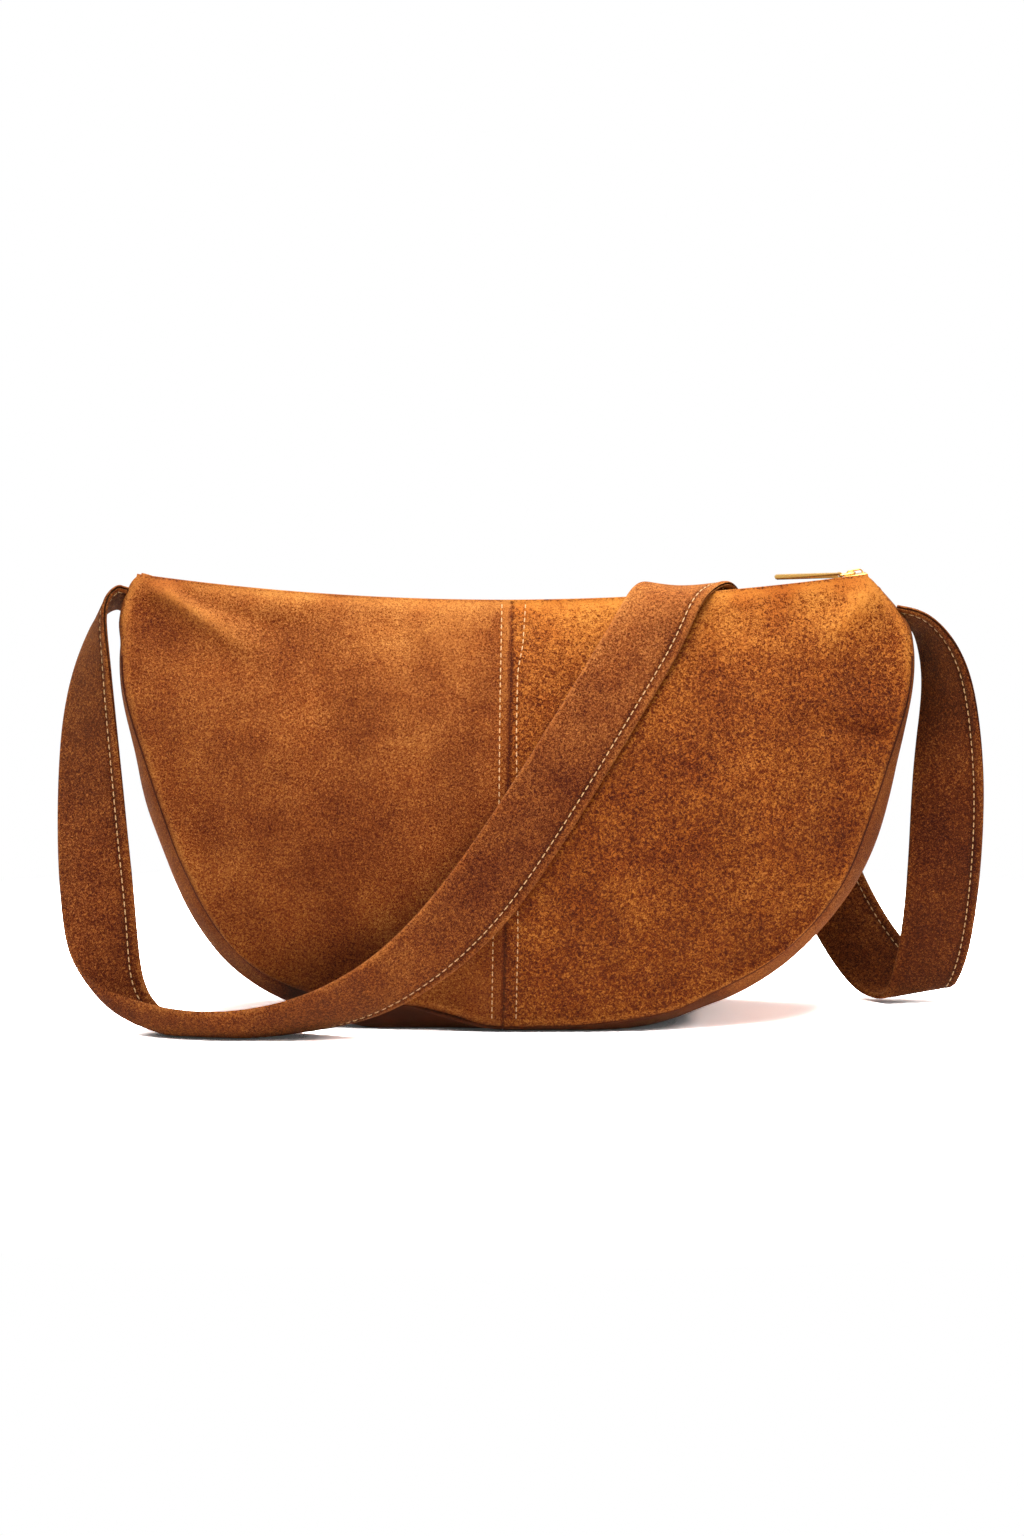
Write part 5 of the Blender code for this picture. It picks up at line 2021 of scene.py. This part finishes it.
def refined(node: str, name: str, width: float, segments: int) -> Piece:
    """Copy a CAD node's shape, merge its faces and round its edges.

    Args:
        node: the CAD node.
        name: the new piece's name.
        width: how far the rounding reaches, in metres.
        segments: how many faces the rounding has.

    Returns:
        The refined piece.
    """
    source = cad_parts[node]
    piece = bpy.data.objects.new(name, source.data.copy())
    bpy.context.scene.collection.objects.link(piece)
    select_only(piece)
    bpy.ops.object.mode_set(mode="EDIT")
    bpy.ops.mesh.select_all(action="SELECT")
    bpy.ops.mesh.remove_doubles(threshold=MERGE_REACH)
    bpy.ops.mesh.dissolve_limited(angle_limit=math.radians(FLAT_ANGLE))
    bpy.ops.mesh.normals_make_consistent(inside=False)
    bpy.ops.object.mode_set(mode="OBJECT")
    apply_modifier(piece, "BEVEL", width=width, segments=segments, limit_method="ANGLE",
                   angle_limit=math.radians(ROUNDED_ANGLE), use_clamp_overlap=True)
    soften(piece, METAL_ANGLE)
    return piece


@dataclass(frozen=True)
class SliderAndPull:
    """The slider, the wire link through its bridge and the flat pull bar, in metres."""
    zipper: ZipFastener = ZipFastener()
    plate: float = 0.0008
    wire: float = 0.0010
    link_length: float = 0.0074
    link_corner: float = 0.0014
    pull_width: float = 0.0044
    corner_steps: int = 8
    wire_faces: int = 5
    rounding: float = 0.00022
    bar_rounding: float = 0.0003
    rounding_faces: int = 3

    def link(self) -> Piece:
        """The closed wire link as a round bent wire.

        Returns:
            The link.
        """
        park = FORM.mouth_half_length + FORM.suede - self.zipper.slider_length / 2
        home = self.zipper.chain(park)
        height = self.zipper.tooth_half_height + FORM.gap + self.plate + FORM.gap + self.wire / 2
        half = self.pull_width / 2 + FORM.gap + self.wire / 2
        corner = self.link_corner
        points = []
        for x, y, start in (
            (-corner, half - corner, 0.0), (corner - self.link_length, half - corner, 90.0),
            (corner - self.link_length, corner - half, 180.0), (-corner, corner - half, 270.0),
        ):
            for step in range(self.corner_steps + 1):
                angle = math.radians(start + 90.0 * step / self.corner_steps)
                spot = Vector((x + corner * math.cos(angle), y + corner * math.sin(angle), height))
                points.append(home @ spot)
        return tube_along("pull_link_wire", points, self.wire / 2, closed=True, rings=self.wire_faces)

    def build(self, metal: Material) -> None:
        """Build the slider's two plates, the link and the bar.

        Args:
            metal: the plated metal's material.
        """
        plates = (("zip_slider_body", "slider_top"), ("zip_slider_underplate", "slider_bottom"))
        for node, name in plates:
            plate = refined(node, name, self.rounding, self.rounding_faces)
            settle(plate, Body.SLIDER, metal, [node], "brass")
        settle(self.link(), Body.LINK, metal, ["zip_pull_ring"], "brass")
        bar = refined("zip_pull_bar", "pull_bar_plate", self.bar_rounding, self.rounding_faces)
        settle(bar, Body.BAR, metal, ["zip_pull_bar"], "brass")


# Studio

@dataclass(frozen=True)
class Lamp:
    """One soft area light."""
    name: str
    place: tuple[float, float, float]
    size: float
    power: float


@dataclass(frozen=True)
class Studio:
    """White floor, even white light and the camera at the photograph's angle."""
    lens_mm: float = 78.45
    sensor_mm: float = 36.0
    camera_place: tuple = (-0.0024, -1.61943, 0.34968)
    pitch_degrees: float = 8.0
    floor_colour: str = "#FAF9F8"
    bounce_colour: str = "#665F58"
    floor_exposure: float = 5.5
    # Ambient occlusion within contact_reach darkens the floor's colour: a painted contact shadow under
    # the bag.
    contact_reach: float = 0.010
    contact_dark: float = 0.22
    contact_clear: float = 0.48
    contact_floor: float = 0.5
    contact_samples: int = 8
    floor_size: float = 8.0
    floor_drop: float = 0.0002
    glow: float = 0.03
    # The floor turns plain white between these two reaches of an oval about the bag.
    oval_scale: tuple = (2.4, 3.4, 1.0)
    oval_start: float = 0.75
    oval_end: float = 1.5
    lamp_aim: tuple = (0.0, 0.0, 0.1)
    world_strength: float = 0.12
    lamps: tuple = (
        Lamp("key_softbox", (-0.35, -1.15, 1.45), 1.3, 2.5),
        Lamp("near_overhead", (0.0, -0.32, 0.85), 0.75, 16.5),
        Lamp("right_fill", (1.3, -1.1, 0.6), 1.0, 6.0),
        Lamp("rear_overhead", (0.0, 0.25, 0.95), 0.7, 12.5),
        Lamp("left_side_fill", (-1.2, 0.05, 0.7), 0.8, 3.0),
    )

    def camera(self) -> None:
        """Add the camera."""
        bpy.ops.object.camera_add(
            location=self.camera_place, rotation=(math.radians(90.0 - self.pitch_degrees), 0.0, 0.0))
        camera = bpy.context.object
        camera.data.sensor_width = self.sensor_mm
        camera.data.lens = self.lens_mm
        camera.data.dof.use_dof = False
        bpy.context.scene.camera = camera

    def lights(self) -> None:
        """Add the lamps, each turned to the bag."""
        for lamp in self.lamps:
            bpy.ops.object.light_add(type="AREA", location=lamp.place)
            light = bpy.context.object
            light.name = lamp.name
            light.data.shape = "DISK"
            light.data.size = lamp.size
            light.data.energy = lamp.power
            aim = Vector(self.lamp_aim) - Vector(lamp.place)
            light.rotation_euler = aim.to_track_quat("-Z", "Y").to_euler()

    def seen(self, tree: bpy.types.NodeTree) -> bpy.types.NodeSocket:
        """1 for rays that show the background: camera, glossy and transmission rays.

        Args:
            tree: the node tree to add to.

        Returns:
            The socket that gives 1 or 0.
        """
        path = add_node(tree, "ShaderNodeLightPath")
        first = add_node(
            tree, "ShaderNodeMath", {"operation": "MAXIMUM"},
            {0: path.outputs["Is Camera Ray"], 1: path.outputs["Is Glossy Ray"]}).outputs[0]
        return add_node(
            tree, "ShaderNodeMath", {"operation": "MAXIMUM"},
            {0: first, 1: path.outputs["Is Transmission Ray"]}).outputs[0]

    def world(self) -> None:
        """White world: full white to the eye, softer as light."""
        world = bpy.data.worlds.new("white_studio")
        world.use_nodes = True
        tree = world.node_tree
        back = tree.nodes["Background"]
        back.inputs["Color"].default_value = (1.0, 1.0, 1.0, 1.0)
        strength = add_node(
            tree, "ShaderNodeMapRange", {"To Min": self.world_strength, "To Max": 1.0},
            {"Value": self.seen(tree)}).outputs["Result"]
        tree.links.new(strength, back.inputs["Strength"])
        bpy.context.scene.world = world

    def floor(self) -> None:
        """Pale floor that keeps the bag's shadow, darkened near the bag by a painted contact shadow,
        and turns plain white further off.
        """
        bpy.ops.object.select_all(action="DESELECT")
        bpy.ops.mesh.primitive_plane_add(size=self.floor_size, location=(0.0, 0.0, -self.floor_drop))
        floor = bpy.context.object
        floor.name = "studio_floor"
        material = bpy.data.materials.new("white_paper_floor")
        material.use_nodes = True
        tree = material.node_tree
        tree.nodes.clear()
        seen = self.seen(tree)
        paper = add_node(
            tree, "ShaderNodeMix",
            {"data_type": "RGBA", 6: linear(self.bounce_colour), 7: linear(self.floor_colour)},
            {0: seen},
        ).outputs[2]
        # Painted contact shadow: ambient occlusion darkens the floor's colour close to the bag.
        open_sky = add_node(
            tree, "ShaderNodeAmbientOcclusion",
            {"samples": self.contact_samples, "Distance": self.contact_reach})
        clear = add_node(
            tree, "ShaderNodeMapRange",
            {"interpolation_type": "SMOOTHSTEP",
             "From Min": self.contact_dark, "From Max": self.contact_clear,
             "To Min": self.contact_floor, "To Max": self.floor_exposure},
            {"Value": open_sky.outputs["AO"]}).outputs["Result"]
        bright = add_node(
            tree, "ShaderNodeVectorMath", {"operation": "SCALE"}, {0: paper, "Scale": clear}
        ).outputs["Vector"]
        diffuse = add_node(tree, "ShaderNodeBsdfDiffuse", {}, {"Color": bright})
        glow = add_node(
            tree, "ShaderNodeMath", {"operation": "MULTIPLY", 1: self.glow}, {0: seen}).outputs[0]
        near_glow = add_node(tree, "ShaderNodeEmission", {}, {"Strength": glow})
        near = add_node(
            tree, "ShaderNodeAddShader", {},
            {0: diffuse.outputs["BSDF"], 1: near_glow.outputs["Emission"]})
        far = add_node(tree, "ShaderNodeEmission", {"Strength": 1.0})
        coords = add_node(tree, "ShaderNodeTexCoord").outputs["Object"]
        shaped = add_node(
            tree, "ShaderNodeMapping", {"Scale": self.oval_scale}, {"Vector": coords}
        ).outputs["Vector"]
        away = add_node(
            tree, "ShaderNodeVectorMath", {"operation": "LENGTH"}, {0: shaped}).outputs["Value"]
        mask = add_node(
            tree, "ShaderNodeMapRange",
            {"interpolation_type": "SMOOTHSTEP",
             "From Min": self.oval_start, "From Max": self.oval_end}, {"Value": away}
        ).outputs["Result"]
        shown = add_node(
            tree, "ShaderNodeMath", {"operation": "MULTIPLY"}, {0: mask, 1: seen}).outputs[0]
        both = add_node(
            tree, "ShaderNodeMixShader", {}, {0: shown, 1: near.outputs[0], 2: far.outputs[0]})
        add_node(tree, "ShaderNodeOutputMaterial", {}, {"Surface": both.outputs[0]})
        floor.data.materials.append(material)

    def build(self) -> None:
        """Set up the whole studio."""
        self.camera()
        self.lights()
        self.world()
        self.floor()
        bpy.context.scene.view_settings.view_transform = "Standard"


def main() -> None:
    """Build the bag from its shell to its pull, then the studio."""
    logging.basicConfig(level=logging.INFO, format="%(message)s")
    wardrobe = Wardrobe()
    thread = wardrobe.cream_thread.material()
    panels = SoftShell().build(wardrobe)
    CentreStitching().build(panels, thread)
    ZipFastener().build(wardrobe.tape_cloth.material(), wardrobe.tooth_metal.material())
    SliderAndPull().build(wardrobe.gold_metal.material())
    ShoulderStrap().build(wardrobe.strap_suede.material(), thread)
    Studio().build()


if __name__ == "__main__":
    main()
